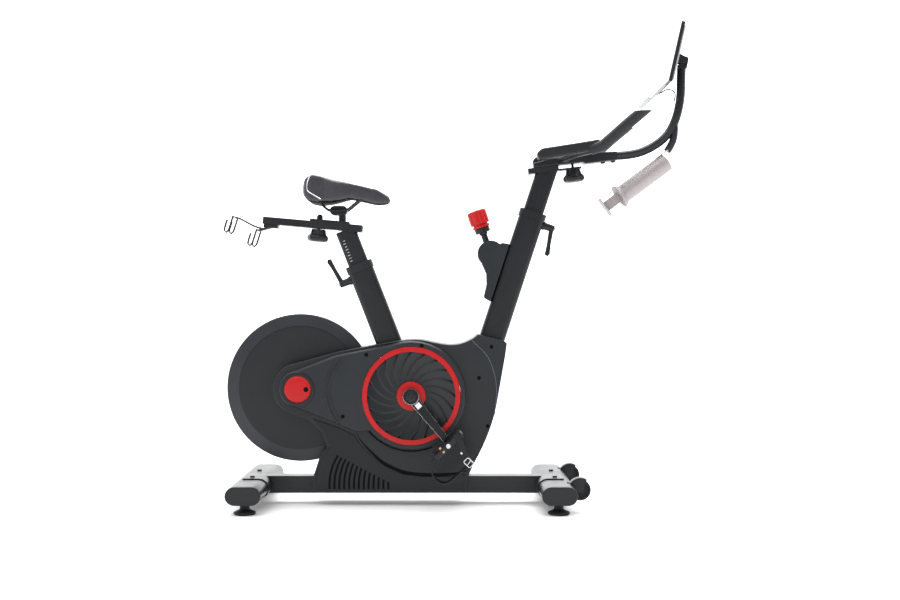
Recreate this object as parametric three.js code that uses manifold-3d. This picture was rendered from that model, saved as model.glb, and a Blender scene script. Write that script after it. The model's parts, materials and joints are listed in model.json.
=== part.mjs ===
// Indoor spin bike: a welded steel frame on two cross feet, a belt-driven flywheel between moulded
// side shells, and a sliding saddle, handlebar and tilting screen. Millimetres, +X forward, +Y to
// the rider's left, +Z up, origin on the floor under the middle of the bike.
import * as THREE from "three";
import { mergeVertices } from "three/addons/utils/BufferGeometryUtils.js";
import Module from "manifold-3d";

const wasm = await Module();
wasm.setup();

// ---------- driving dimensions ----------
const GAP = 0.3; // between pieces that touch
const FLYWHEEL = { x: -460.5, z: 340, radius: 217, flat: 180, half: 8, edgeHalf: 3.5 };
const CRANK = { x: -132.5, z: 321, throw: 170, angle: 50.75 };
const SEAT_TUBE = { x: -248.5, z: 598, lean: -21.3, rim: 114.8 };
const HEAD_TUBE = { x: 108.3, z: 501.1, lean: 18.15, rim: 375.6 };
const TUBE = { deep: 75, wide: 50, wall: 3, corner: 13 };
const POST = { deep: 60, wide: 38, wall: 2.5, corner: 10 };
const BEAM = { half: 30, low: 33, top: 83, wall: 3 };
const STABILIZER = { rearX: -593, frontX: 283, z: 56, flat: 24, round: 26, half: 240, wall: 2.5 };
const FOOT = { y: 210, radius: 31, lift: 12 };
const WHEEL = { x: 347, z: 62, y: 160, radius: 30, half: 10 };
const SHELL = { wall: 3, low: 64, high: 86, split: 16 };
const BELT_Y = 45;
const RAIL = { x: -424.5, z: 820, pitch: 5.06, half: 146, thick: 21, wide: 46 };
const HEAD = { x: 254, z: 981, pitch: -6.5, half: 45, thick: 16, wide: 46 };
const POD = { x: 99, z: 734.5, radius: 38.6, half: 28, knobLean: -19 };
const SCREEN = { x: 627.3, z: 1308.5, lean: 12.7, thick: 11, wide: 255, tall: 175 };
const PIVOT = { x: 671.5, z: 1305 };
const BOTTLE = { x: 617.5, z: 1005, slope: 36.6, length: 166, deep: 54, wide: 74, wall: 2.5 };

// ---------- finishes ----------
const finish = (color, roughness, metalness) =>
  new THREE.MeshStandardMaterial({ color, roughness, metalness });
const BLACK_PAINT = finish(0x1a1c1f, 0.45, 0.3);
const SHELL_PLASTIC = finish(0x222427, 0.6, 0);
const DARK_PLASTIC = finish(0x17181a, 0.5, 0);
const RED_PLASTIC = finish(0xc4232b, 0.4, 0);
const RUBBER = finish(0x141414, 0.85, 0);
const FLYWHEEL_IRON = finish(0x1d1e20, 0.4, 0.6);
const STEEL = finish(0xb9bcc0, 0.3, 1);
const LEATHER = finish(0x16171a, 0.55, 0);
const ALUMINIUM = finish(0xc9c4c4, 0.35, 0.9);
const GLASS_BLACK = finish(0x0c0d10, 0.15, 0.1);
const PALE_PLASTIC = finish(0xd8dadc, 0.4, 0);

// ---------- solids ----------
// A closed geometry as a manifold solid, turned round if its faces point inwards.
function solid(geometry) {
  const bare = new THREE.BufferGeometry();
  const source = geometry.index ? geometry.toNonIndexed() : geometry;
  bare.setAttribute("position", source.getAttribute("position"));
  const merged = mergeVertices(bare, 1e-3);
  const vertProperties = new Float32Array(merged.attributes.position.array);
  const triVerts = new Uint32Array(merged.index.array);
  const made = new wasm.Manifold(new wasm.Mesh({ numProp: 3, vertProperties, triVerts }));
  if (made.volume() > 0) return made;
  for (let i = 0; i < triVerts.length; i += 3) {
    [triVerts[i + 1], triVerts[i + 2]] = [triVerts[i + 2], triVerts[i + 1]];
  }
  return new wasm.Manifold(new wasm.Mesh({ numProp: 3, vertProperties, triVerts }));
}

const join = (first, ...others) => others.reduce((body, other) => body.add(other), first);
const cut = (body, ...tools) => tools.reduce((left, tool) => left.subtract(tool), body);

function block(x0, x1, y0, y1, z0, z1) {
  const geometry = new THREE.BoxGeometry(x1 - x0, y1 - y0, z1 - z0);
  return solid(geometry.translate((x0 + x1) / 2, (y0 + y1) / 2, (z0 + z1) / 2));
}

const outline = (points) => new THREE.Shape(points.map(([x, z]) => new THREE.Vector2(x, z)));

// An outline in the XZ plane, drawn out along Y from y0 to y1.
function prism(points, y0, y1) {
  const geometry = new THREE.ExtrudeGeometry(outline(points), {
    depth: y1 - y0,
    bevelEnabled: false,
  });
  return solid(geometry.rotateX(Math.PI / 2).translate(0, y1, 0));
}

// Points of an arc in the XZ plane, both ends included; angles in degrees.
function arc(x, z, radius, from, to, steps) {
  return Array.from({ length: steps + 1 }, (_, i) => {
    const angle = THREE.MathUtils.degToRad(from + ((to - from) * i) / steps);
    return [x + radius * Math.cos(angle), z + radius * Math.sin(angle)];
  });
}

const circle = (x, z, radius, sides) => arc(x, z, radius, 0, 360, sides).slice(0, -1);
const disc = (x, z, radius, y0, y1, sides = 24) => prism(circle(x, z, radius, sides), y0, y1);

// A round bar between two points, with a second radius at its far end if it tapers.
function rod(from, to, radius, sides = 12, endRadius = radius) {
  const start = new THREE.Vector3(...from);
  const run = new THREE.Vector3(...to).sub(start);
  const geometry = new THREE.CylinderGeometry(endRadius, radius, run.length(), sides);
  const up = new THREE.Vector3(0, 1, 0);
  const turn = new THREE.Quaternion().setFromUnitVectors(up, run.clone().normalize());
  geometry.translate(0, run.length() / 2, 0).applyQuaternion(turn);
  return solid(geometry.translate(...from));
}

// A round tube or wire along a smooth curve through points.
function pipe(points, radius, sides, steps, tension = 0.5) {
  const route = points.map((point) => new THREE.Vector3(...point));
  const path = new THREE.CatmullRomCurve3(route, false, "catmullrom", tension);
  const geometry = new THREE.ExtrudeGeometry(outline(circle(0, 0, radius, sides)), {
    steps,
    bevelEnabled: false,
    extrudePath: path,
  });
  return solid(geometry);
}

// A profile of [radius, y] turned round the Y axis and moved to an axle at x, z.
function turned(profile, x, z, sides) {
  const points = profile.map(([radius, y]) => new THREE.Vector2(radius, y));
  return solid(new THREE.LatheGeometry(points, sides).translate(x, 0, z));
}

// A profile of [radius, height] turned round an axis that leans in the XZ plane.
function upright(profile, x, z, lean, sides, y = 0) {
  const points = profile.map(([radius, height]) => new THREE.Vector2(radius, height));
  const geometry = new THREE.LatheGeometry(points, sides).rotateX(Math.PI / 2);
  return solid(geometry.rotateY(THREE.MathUtils.degToRad(lean)).translate(x, y, z));
}

function roundedRectangle(deep, wide, corner) {
  const [a, b] = [deep / 2 - corner, wide / 2 - corner];
  return [
    ...arc(a, b, corner, 0, 90, 3),
    ...arc(-a, b, corner, 90, 180, 3),
    ...arc(-a, -b, corner, 180, 270, 3),
    ...arc(a, -b, corner, 270, 360, 3),
  ];
}

// A rounded section drawn out along an axis that leans in the XZ plane, from low to high.
function column(section, axis, low, high) {
  const geometry = new THREE.ExtrudeGeometry(outline(section), {
    depth: high - low,
    bevelEnabled: false,
  });
  geometry.translate(0, 0, low).rotateY(THREE.MathUtils.degToRad(axis.lean));
  return solid(geometry.translate(axis.x, 0, axis.z));
}

// Turns a solid about Y by degrees and moves it to x, y, z.
const placed = (body, x, z, degrees, y = 0) => body.rotate([0, degrees, 0]).translate([x, y, z]);

// The outline moved inwards by a wall's thickness; points run anticlockwise.
function inset(points, wall) {
  return points.map(([x, z], i) => {
    const [px, pz] = points[(i + points.length - 1) % points.length];
    const [nx, nz] = points[(i + 1) % points.length];
    const before = new THREE.Vector2(-(z - pz), x - px).normalize();
    const after = new THREE.Vector2(-(nz - z), nx - x).normalize();
    const middle = before.add(after).normalize();
    const reach = wall / Math.max(0.5, middle.dot(after));
    return [x + middle.x * reach, z + middle.y * reach];
  });
}

const bike = new THREE.Group();

function piece(name, body, material) {
  const made = body.getMesh();
  const geometry = new THREE.BufferGeometry();
  geometry.setAttribute("position", new THREE.BufferAttribute(made.vertProperties, 3));
  geometry.setIndex(new THREE.BufferAttribute(made.triVerts, 1));
  const mesh = new THREE.Mesh(geometry, material);
  mesh.name = name;
  bike.add(mesh);
}

// The rider's right is -Y. A piece made once for the right is mirrored for the left.
const mirrored = (body) => body.mirror([0, 1, 0]);

function pair(name, right, material) {
  piece(name + "_right", right, material);
  piece(name + "_left", mirrored(right), material);
}

// ---------- base ----------
function oval(x, radius, grow = 0) {
  const round = radius + grow;
  return [
    ...arc(x + STABILIZER.flat, STABILIZER.z, round, -90, 90, 8),
    ...arc(x - STABILIZER.flat, STABILIZER.z, round, 90, 270, 8),
  ];
}

// A bent plate over a stabilizer's top and round its inner side, with two bolt heads.
function saddlePlate(x, inner) {
  const round = STABILIZER.round + GAP;
  const thick = round + 3;
  const bend = x + inner * STABILIZER.flat;
  const edge = x - inner * STABILIZER.flat;
  const sweep = inner > 0 ? [90, -67.5] : [90, 247.5];
  const profile = [
    [edge, STABILIZER.z + thick],
    ...arc(bend, STABILIZER.z, thick, ...sweep, 7),
    ...arc(bend, STABILIZER.z, round, sweep[1], sweep[0], 7),
    [edge, STABILIZER.z + round],
  ];
  const heads = [-70, 70].map((y) => {
    const top = STABILIZER.z + thick;
    return rod([x, y, top - 1], [x, y, top + 4], 7, 10);
  });
  return join(prism(profile, -103, 103), ...heads);
}

const beamEnds = [STABILIZER.rearX + STABILIZER.flat, STABILIZER.frontX - STABILIZER.flat];
let beam = block(...beamEnds, -BEAM.half, BEAM.half, BEAM.low, BEAM.top);
const beamInside = BEAM.half - BEAM.wall;
beam = cut(
  beam,
  block(-620, 320, -beamInside, beamInside, BEAM.low + BEAM.wall, BEAM.top - BEAM.wall),
  prism(oval(STABILIZER.rearX, STABILIZER.round, GAP), -40, 40),
  prism(oval(STABILIZER.frontX, STABILIZER.round, GAP), -40, 40),
  rod([-480, 0, 20], [-480, 0, 40], 8),
);
beam = join(beam, saddlePlate(STABILIZER.rearX, 1), saddlePlate(STABILIZER.frontX, -1));
piece("base_beam", beam, BLACK_PAINT);

function stabilizer(x) {
  const outer = prism(oval(x, STABILIZER.round), -STABILIZER.half, STABILIZER.half);
  const hollow = prism(oval(x, STABILIZER.round - STABILIZER.wall), -260, 260);
  const studHoles = [-FOOT.y, FOOT.y].map((y) => rod([x, y, 25], [x, y, 40], 6.5));
  return cut(outer, hollow, ...studHoles);
}

const wheelPocket = block(310.5, 345, -WHEEL.y - 15, -WHEEL.y + 15, 20, 100);
piece("rear_stabilizer", stabilizer(STABILIZER.rearX), BLACK_PAINT);
const frontTube = cut(stabilizer(STABILIZER.frontX), wheelPocket, mirrored(wheelPocket));
piece("front_stabilizer", frontTube, BLACK_PAINT);

for (const [end, x] of [["rear", STABILIZER.rearX], ["front", STABILIZER.frontX]]) {
  const face = prism(oval(x, STABILIZER.round), -254, -STABILIZER.half - GAP);
  const spigot = prism(oval(x, STABILIZER.round - STABILIZER.wall, -0.5), -241, -222);
  pair("end_cap_" + end, join(face, spigot), DARK_PLASTIC);
  const pad = [[0, 0], [FOOT.radius - 2, 0], [FOOT.radius, 2], [FOOT.radius, 7], [20, 13]];
  const stud = [[13, 16], [12, 28], [5, 28], [5, 52], [0, 52]];
  pair("foot_" + end, upright([...pad, ...stud], x, 0, 0, 14, -FOOT.y), RUBBER);
}

// ---------- transport wheels ----------
const tread = WHEEL.half - 2;
const wheelProfile = [
  [4.4, -WHEEL.half], [28, -WHEEL.half], [WHEEL.radius, -tread], [WHEEL.radius, tread],
  [28, WHEEL.half], [4.4, WHEEL.half], [4.4, -WHEEL.half],
];
const wheel = turned(wheelProfile, WHEEL.x, WHEEL.z, 24).translate([0, -WHEEL.y, 0]);
pair("transport_wheel", wheel, RUBBER);

const guardArc = [...arc(0, 0, 35, 58, 200, 10), ...arc(0, 0, 31.5, 200, 58, 10)];
const cheek = [...arc(0, 0, 35, 58, 200, 10), [-8, -8], [8, -8], [9, 6]];
const cheeks = [-13.5, WHEEL.half + 0.7].map((y) => prism(cheek, y, y + 2.8));
const guard = join(prism(guardArc, -13.5, 13.5), ...cheeks, disc(0, 0, 3.9, -13.5, 13.5, 12));
pair("wheel_guard", guard.translate([WHEEL.x, -WHEEL.y, WHEEL.z]), DARK_PLASTIC);

// ---------- frame tubes ----------
const tubeOuter = roundedRectangle(TUBE.deep, TUBE.wide, TUBE.corner);
const tubeInner = roundedRectangle(TUBE.deep - 6, TUBE.wide - 6, TUBE.corner - TUBE.wall);
const collarOuter = roundedRectangle(TUBE.deep + 6, TUBE.wide + 6, TUBE.corner + 3);
const collarInner = roundedRectangle(POST.deep + 1.4, POST.wide + 1.4, POST.corner);
const lowestHalf = block(-900, 900, -200, 200, -900, BEAM.top + GAP);

function frameTube(axis, low, boss) {
  const shell = cut(column(tubeOuter, axis, low, axis.rim - 10), column(tubeInner, axis, -900, 900));
  const collarBore = column(collarInner, axis, axis.rim - 60, axis.rim + 10);
  const collar = cut(column(collarOuter, axis, axis.rim - 22, axis.rim), collarBore);
  const bossStart = Math.sign(axis.lean) * (TUBE.deep / 2 - 1);
  const bossEnd = Math.sign(axis.lean) * (TUBE.deep / 2 + 7);
  const lug = rod([bossStart, 0, boss], [bossEnd, 0, boss], 13, 16);
  return join(shell, collar, placed(lug, axis.x, axis.z, axis.lean));
}

const SEAT_LEVER_AT = 77;
const HEAD_LEVER_AT = 346;
const bracketHole = disc(CRANK.x, CRANK.z, 22.6, -40, 40, 20);
const seatTube = cut(frameTube(SEAT_TUBE, -640, SEAT_LEVER_AT), lowestHalf, bracketHole);
piece("seat_tube", seatTube, BLACK_PAINT);

const behindSeatFront = placed(
  block(-600, TUBE.deep / 2 + GAP, -100, 100, -900, 900),
  SEAT_TUBE.x,
  SEAT_TUBE.z,
  SEAT_TUBE.lean,
);
const headTube = cut(frameTube(HEAD_TUBE, -420, HEAD_LEVER_AT), lowestHalf, behindSeatFront);
piece("head_tube", headTube, BLACK_PAINT);

// Bottom bracket barrel through the seat tube, with a steel plate each side to the flywheel axle.
const plateOutline = [
  ...arc(CRANK.x, CRANK.z, 32, -80, 80, 6),
  ...arc(FLYWHEEL.x, FLYWHEEL.z, 19, 95, 265, 6),
];
const plates = [-31, 26].map((y) => prism(plateOutline, y, y + 5));
const barrel = disc(CRANK.x, CRANK.z, 22, -31, 31, 20);
const driveFrame = cut(
  join(barrel, ...plates),
  disc(CRANK.x, CRANK.z, 10.6, -40, 40),
  disc(FLYWHEEL.x, FLYWHEEL.z, 10.6, -40, 40),
);
piece("drive_frame", driveFrame, BLACK_PAINT);

// ---------- side shells ----------
// The silhouette of the housing, anticlockwise from its low rear corner.
function eased(points, steps) {
  const through = points.map(([x, z]) => new THREE.Vector3(x, 0, z));
  const curve = new THREE.CatmullRomCurve3(through, false, "centripetal");
  return curve.getPoints(steps).map((point) => [point.x, point.z]);
}

const frontEdge = [
  [-417, 38], [25, 38],
  ...eased([[31, 83], [50, 124], [75, 173], [94, 219], [110, 270], [123, 340], [139, 428], [145, 472.5]], 18),
  [137, 479],
];
const topEdge = eased([
  [61, 498], [42, 484], [9, 470.6], [-24, 468], [-62, 473.5], [-100, 481.6], [-127, 483],
  [-165.5, 480], [-209.5, 473.5], [-281, 459.5], [-349, 447],
], 26);
const rearLeg = [
  [-433, 247], [-395, 214], [-376, 171], [-398, 146], [-411.5, 105], [-419.5, 77.5],
];
const lobe = arc(FLYWHEEL.x, FLYWHEEL.z, 75, 95, 246, 10);
const silhouette = [...frontEdge, ...topEdge, ...lobe, ...rearLeg];

// The raised teardrop: a big disc round the crank and a small one at the flywheel axle.
function raised(shrink, y0, y1) {
  const web = [
    [-470, 392], [-470, 288], [-346, 240], [-291, 215], [-250, 219], [-132, 321], [-100, 470],
    [-127, 474], [-165.5, 471], [-209.5, 464.5], [-281, 451], [-349, 438],
  ];
  return join(
    disc(CRANK.x, CRANK.z, 158 - shrink, y0, y1, 36),
    disc(FLYWHEEL.x, FLYWHEEL.z, 54 - shrink, y0, y1, 20),
    prism(shrink ? inset(web, shrink) : web, y0, y1),
  );
}

const tubeClearance = (axis) =>
  column(roundedRectangle(TUBE.deep + 2, TUBE.wide + 2, TUBE.corner + 1), axis, -900, 900);
const rightShell = cut(
  join(prism(silhouette, -SHELL.low, -GAP), raised(0, -SHELL.high, -SHELL.low + 1)),
  prism(inset(silhouette, SHELL.wall), -SHELL.low + SHELL.wall, 5),
  raised(SHELL.wall, -SHELL.high + SHELL.wall, -SHELL.low + SHELL.wall + 1),
  block(-600, 300, -BEAM.half - 0.6, BEAM.half, 0, BEAM.top + 0.6),
  disc(FLYWHEEL.x, FLYWHEEL.z, FLYWHEEL.radius + 7, -SHELL.split, SHELL.split, 32),
  disc(CRANK.x, CRANK.z, 143, -90, -80, 36),
  disc(FLYWHEEL.x, FLYWHEEL.z, 14, -90, -80),
  tubeClearance(SEAT_TUBE),
  tubeClearance(HEAD_TUBE),
);
pair("side_shell", rightShell, SHELL_PLASTIC);

const capHole = disc(FLYWHEEL.x + 25, FLYWHEEL.z, 6.5, -96, -90, 12);
const capProfile = [[0, -94], [33, -94], [38.5, -91], [38.5, -86 - GAP], [0, -86 - GAP]];
const hubCap = cut(turned(capProfile, FLYWHEEL.x, FLYWHEEL.z, 24), capHole);
pair("hub_cap", hubCap, RED_PLASTIC);

// The red ring and the vaned dish fill the round mouth of the shell.
const ringProfile = [
  [124.5, -82], [124.5, -89], [142, -89], [142, -82], [124.5, -82],
];
pair("crank_ring", turned(ringProfile, CRANK.x, CRANK.z, 36), RED_PLASTIC);
const dishProfile = [
  [20, -76], [20, -92], [40, -92], [42, -80], [123, -87], [123, -82], [45, -76], [20, -76],
];
pair("crank_dish", turned(dishProfile, CRANK.x, CRANK.z, 36), DARK_PLASTIC);

// ---------- drive ----------
const flywheelProfile = [
  [10.4, -14], [26, -14], [26, -FLYWHEEL.half], [FLYWHEEL.flat, -FLYWHEEL.half],
  [FLYWHEEL.radius, -FLYWHEEL.edgeHalf], [FLYWHEEL.radius, FLYWHEEL.edgeHalf],
  [FLYWHEEL.flat, FLYWHEEL.half], [26, FLYWHEEL.half], [26, 14], [10.4, 14], [10.4, -14],
];
piece("flywheel", turned(flywheelProfile, FLYWHEEL.x, FLYWHEEL.z, 40), FLYWHEEL_IRON);
const axleProfile = [
  [0, -60], [10, -60], [10, -53], [27.5, -53], [27.5, -37], [10, -37], [10, 45], [0, 45],
];
piece("flywheel_axle", turned(axleProfile, FLYWHEEL.x, FLYWHEEL.z, 20), STEEL);
const spindleProfile = [
  [0, -108], [10, -108], [10, -48], [104, -48], [104, -52], [110, -52], [110, -38], [104, -38],
  [104, -42], [10, -42], [10, 108], [0, 108],
];
piece("crank_spindle", turned(spindleProfile, CRANK.x, CRANK.z, 28), STEEL);

// Points of a loop pulled tight round the two pulleys.
function beltLoop(largeRadius, smallRadius) {
  const run = new THREE.Vector2(FLYWHEEL.x - CRANK.x, FLYWHEEL.z - CRANK.z);
  const heading = THREE.MathUtils.radToDeg(run.angle());
  const spread = THREE.MathUtils.radToDeg(Math.acos((largeRadius - smallRadius) / run.length()));
  return [
    ...arc(CRANK.x, CRANK.z, largeRadius, heading + spread, heading + 360 - spread, 22),
    ...arc(FLYWHEEL.x, FLYWHEEL.z, smallRadius, heading - spread, heading + spread, 9),
  ];
}

const belt = cut(
  prism(beltLoop(113.5, 31), -BELT_Y - 6, -BELT_Y + 6),
  prism(beltLoop(111.2, 28.7), -BELT_Y - 10, -BELT_Y + 10),
);
piece("drive_belt", belt, RUBBER);

// A yoke with magnets that swings over the flywheel's front edge.
const YOKE = { x: -233, z: 327 };
const yokeOutline = (inner, outer) => [
  ...arc(FLYWHEEL.x, FLYWHEEL.z, outer, 3, 26, 5),
  ...arc(FLYWHEEL.x, FLYWHEEL.z, inner, 26, 3, 5),
];
const yokeArms = [-17, 12.5].map((y) => prism(yokeOutline(192, 230), y, y + 4.5));
const yoke = join(
  prism(yokeOutline(224, 230), -17, 17),
  ...yokeArms,
  disc(YOKE.x, YOKE.z, 6, -25.6, 25.6, 16),
  prism([[-239, 327], [-227, 327], [-226, 362], [-238, 362]], -17, -12.5),
  prism([[-239, 327], [-227, 327], [-226, 362], [-238, 362]], 12.5, 17),
);
piece("magnet_yoke", yoke, STEEL);

// ---------- cranks and pedals ----------
const PEDAL = { inner: 122, outer: 205, half: 49, thick: 11, turn: 135 };
const armBar = [
  [0, -15], [150, -10], ...arc(CRANK.throw, 0, 13, -75, 75, 8), [150, 10], [0, 15],
];
const crankArm = cut(
  join(
    prism(armBar, -112, -98),
    disc(0, 0, 23, -114, -97, 20),
    rod([CRANK.throw, -110, 0], [CRANK.throw, -PEDAL.outer + 3, 0], 6, 12),
  ),
  disc(0, 0, 10.4, -120, -90),
);
piece("crank_arm_right", placed(crankArm, CRANK.x, CRANK.z, CRANK.angle), BLACK_PAINT);
piece(
  "crank_arm_left",
  placed(mirrored(crankArm), CRANK.x, CRANK.z, CRANK.angle + 180),
  BLACK_PAINT,
);

const windows = [[15, 43], [-43, -15]].map(([x0, x1]) =>
  block(x0, x1, -PEDAL.outer + 7, -PEDAL.inner - 7, -20, 20),
);
const pedal = cut(
  block(-PEDAL.half, PEDAL.half, -PEDAL.outer, -PEDAL.inner, -PEDAL.thick, PEDAL.thick),
  ...windows,
  rod([0, -PEDAL.outer + 3, 0], [0, -PEDAL.inner + 5, 0], 6.8, 16),
);

// A bent cage over the toe, and the strap arch that closes over the foot.
const cageOuter = [
  [50, -4], [66, 0], [82, 11], [92, 27], [95.5, 46], [91, 63], [77, 75], [46, 79.5], [-8, 83],
];
const cageInner = [
  [-8, 80], [46, 76.5], [75, 72], [88.5, 61], [92.5, 46], [89.2, 28], [80, 13.6], [65, 3.2],
  [50, -0.8],
];
const strapOuter = [
  [-208, -9], [-208, 56], [-198, 78], [-180, 88], [-147, 88], [-129, 78], [-119, 56], [-119, -9],
];
const strapInner = [
  [-121.5, -9], [-121.5, 55], [-131, 76], [-148, 85.5], [-179, 85.5], [-196, 76], [-205.5, 55],
  [-205.5, -9],
];
const STRAP_LEAN = 21;
const strapArch = prism([...strapOuter, ...strapInner], -8, 8).rotate([0, 0, 90]);
const strap = strapArch.rotate([0, STRAP_LEAN, 0]).translate([-36, 0, 0]);
const toeCage = join(prism([...cageOuter, ...cageInner], -188, -139), strap);
const pedalAngle = THREE.MathUtils.degToRad(CRANK.angle);
const pedalReach = [
  CRANK.throw * Math.cos(pedalAngle),
  -CRANK.throw * Math.sin(pedalAngle),
];
for (const [side, turn, sign] of [["right", (b) => b, 1], ["left", mirrored, -1]]) {
  const x = CRANK.x + sign * pedalReach[0];
  const z = CRANK.z + sign * pedalReach[1];
  piece("pedal_" + side, placed(turn(pedal), x, z, PEDAL.turn), DARK_PLASTIC);
  piece("toe_cage_" + side, placed(turn(toeCage), x, z, PEDAL.turn), DARK_PLASTIC);
}

// ---------- seat post, rail and saddle ----------
const postOuter = roundedRectangle(POST.deep, POST.wide, POST.corner);
const postInner = roundedRectangle(POST.deep - 5, POST.wide - 5, POST.corner - POST.wall);

// A rectangular slide tube along local X with a bolt slot through it.
function slideTube(part, slot) {
  const [high, side] = [part.thick / 2, part.wide / 2];
  return cut(
    block(-part.half, part.half, -side, side, -high, high),
    block(-part.half - 5, part.half + 5, -side + 3, side - 3, -high + 3, high - 3),
    block(...slot, -4.8, 4.8, -high - 5, high + 5),
  );
}

const seatRail = placed(slideTube(RAIL, [-80, 52]), RAIL.x, RAIL.z, RAIL.pitch);
const seatColumn = cut(
  column(postOuter, SEAT_TUBE, -95, 221),
  column(postInner, SEAT_TUBE, -120, 240),
);
piece("seat_post", join(seatRail, seatColumn), BLACK_PAINT);

const railLocal = (body) => placed(body, RAIL.x, RAIL.z, RAIL.pitch);
const railTop = RAIL.thick / 2 + GAP;
const skirtIn = RAIL.wide / 2 + GAP;
const carriage = join(
  railLocal(
    join(
      block(-8, 108, -skirtIn - 3, skirtIn + 3, railTop, railTop + 6),
      block(-8, 108, -skirtIn - 3, -skirtIn, -6, railTop + 1),
      block(-8, 108, skirtIn, skirtIn + 3, -6, railTop + 1),
      upright([[0, 16], [9, 16], [9, 26], [6, 31], [0, 33]], 18, 0, 0, 14),
    ),
  ),
  rod([-338, 0, 826], [-338, 0, 852], 11, 14),
  prism([...arc(-360, 861, 14, 90, 270, 8), ...arc(-336, 861, 14, -90, 90, 8)], -17, 17),
);
piece("saddle_carriage", carriage, DARK_PLASTIC);

const railSide = [
  [-415, 24, 873], [-392, 24, 866], [-368, 21, 861], [-328, 21, 861], [-290, 18, 866],
  [-255, 10, 872],
];
const railOther = railSide.map(([x, y, z]) => [x, -y, z]);
const saddleRails = join(
  pipe(railSide, 3.4, 6, 12),
  pipe(railOther, 3.4, 6, 12),
  rod([-257, -14, 871.8], [-257, 14, 871.8], 3.6, 8),
);
const clampRoom = prism([[-362, 850], [-334, 850], [-334, 872], [-362, 872]], -17.3, 17.3);
piece("saddle_rails", cut(saddleRails, clampRoom), STEEL);

const saddleSide = [
  [-405, 879.5], [-367, 882], [-311, 894], [-236, 877], [-208, 878], [-194, 886], [-199, 903],
  [-236, 924], [-300, 935], [-360, 946], [-400, 959], [-423, 961.6], [-441, 952], [-449.5, 930],
  [-449.5, 905], [-432, 884],
];
const saddlePlan = [
  [-452, -50], [-444, -74], [-420, -87], [-390, -82], [-355, -58], [-315, -33], [-270, -24],
  [-215, -20], [-196, -12], [-190, 0],
];
const saddleOutline = [...saddlePlan, ...saddlePlan.slice(0, -1).reverse().map(([x, y]) => [x, -y])];
const saddleColumn = new THREE.ExtrudeGeometry(outline(saddleOutline), {
  depth: 120,
  bevelEnabled: false,
}).translate(0, 0, 860);
piece("saddle", prism(saddleSide, -95, 95).intersect(solid(saddleColumn)), LEATHER);

function clampKnob(bolt) {
  const profile = [
    [0, -50], [27, -50], [31, -46], [31, -30], [26, -24], [22, -13], [4, -13], [4, bolt], [0, bolt],
  ];
  return upright(profile, 0, 0, 0, 16);
}

const KNOB_ALONG_RAIL = 18;
piece("seat_knob", railLocal(clampKnob(8.2).translate([KNOB_ALONG_RAIL, 0, 2])), DARK_PLASTIC);

// A ratchet lever: hub on the tube's boss, and a flared handle along or against the tube.
function lever(axis, height, up) {
  const out = Math.sign(axis.lean);
  const face = TUBE.deep / 2 + 7 + GAP;
  const hub = rod([out * face, 0, 0], [out * (face + 29), 0, 0], 11, 16, 10);
  const screw = rod([out * (face + 28), 0, 0], [out * (face + 32), 0, 0], 5, 10);
  const handle = prism(
    [[14, 0], [28, 0], [34, 48], [40, 74], [36, 82], [26, 80], [23, 50]].map(([x, z]) => [
      out * (face + x),
      up * z,
    ]),
    -6,
    6,
  );
  return placed(join(hub, screw, handle).translate([0, 0, height]), axis.x, axis.z, axis.lean);
}

piece("seat_lever", lever(SEAT_TUBE, SEAT_LEVER_AT, 1), DARK_PLASTIC);
piece("head_lever", lever(HEAD_TUBE, HEAD_LEVER_AT, -1), DARK_PLASTIC);

// ---------- weight rack ----------
const WIRE = 2.4;
function hook(x, z, y) {
  const lean = [[0, 0], [-5, -16], [-13, -40], [-18, -46], [-25, -44], [-24, -32], [-17, -10]];
  return pipe(lean.map(([dx, dz]) => [x + dx, y, z + dz]), WIRE, 5, 9);
}

const rackBracket = railLocal(block(-142, -101, -19, 19, -20, -RAIL.thick / 2 - GAP));
const rackWires = [
  rod([-585, -44, 803], [-585, 44, 803], WIRE, 6),
  rod([-653.8, -44, 842], [-653.8, 44, 842], WIRE, 6),
  pipe([[-540, 0, 812], [-572, 0, 809], [-600, 0, 817], [-640, 0, 838], [-653.8, 0, 842]], WIRE, 6, 10),
  pipe([[-545, 14, 814], [-562, 14, 809], [-585, 14, 803]], WIRE, 6, 4),
  pipe([[-545, -14, 814], [-562, -14, 809], [-585, -14, 803]], WIRE, 6, 4),
];
const hooks = [-42, 42].flatMap((y) => [hook(-585, 803, y), hook(-653.8, 842, y)]);
piece("weight_rack", join(rackBracket, ...rackWires, ...hooks), BLACK_PAINT);

// ---------- handlebar ----------
const headLocal = (body) => placed(body, HEAD.x, HEAD.z, HEAD.pitch);
const KNOB_ALONG_HEAD = 88;
const headBlock = headLocal(
  cut(
    join(
      block(-HEAD.half, HEAD.half, -HEAD.wide / 2, HEAD.wide / 2, -HEAD.thick / 2, HEAD.thick / 2),
      block(HEAD.half - 1, 112, -17, 17, -8, -2.5),
    ),
    block(KNOB_ALONG_HEAD - 5, KNOB_ALONG_HEAD + 5, -5, 5, -20, 20),
  ),
);
const aboveHead = headLocal(block(-200, 200, -60, 60, 0, 200));
const headColumn = cut(
  column(postOuter, HEAD_TUBE, 175, 520),
  column(postInner, HEAD_TUBE, 150, 476),
  aboveHead,
);
piece("handlebar_post", join(headBlock, headColumn), BLACK_PAINT);

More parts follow.
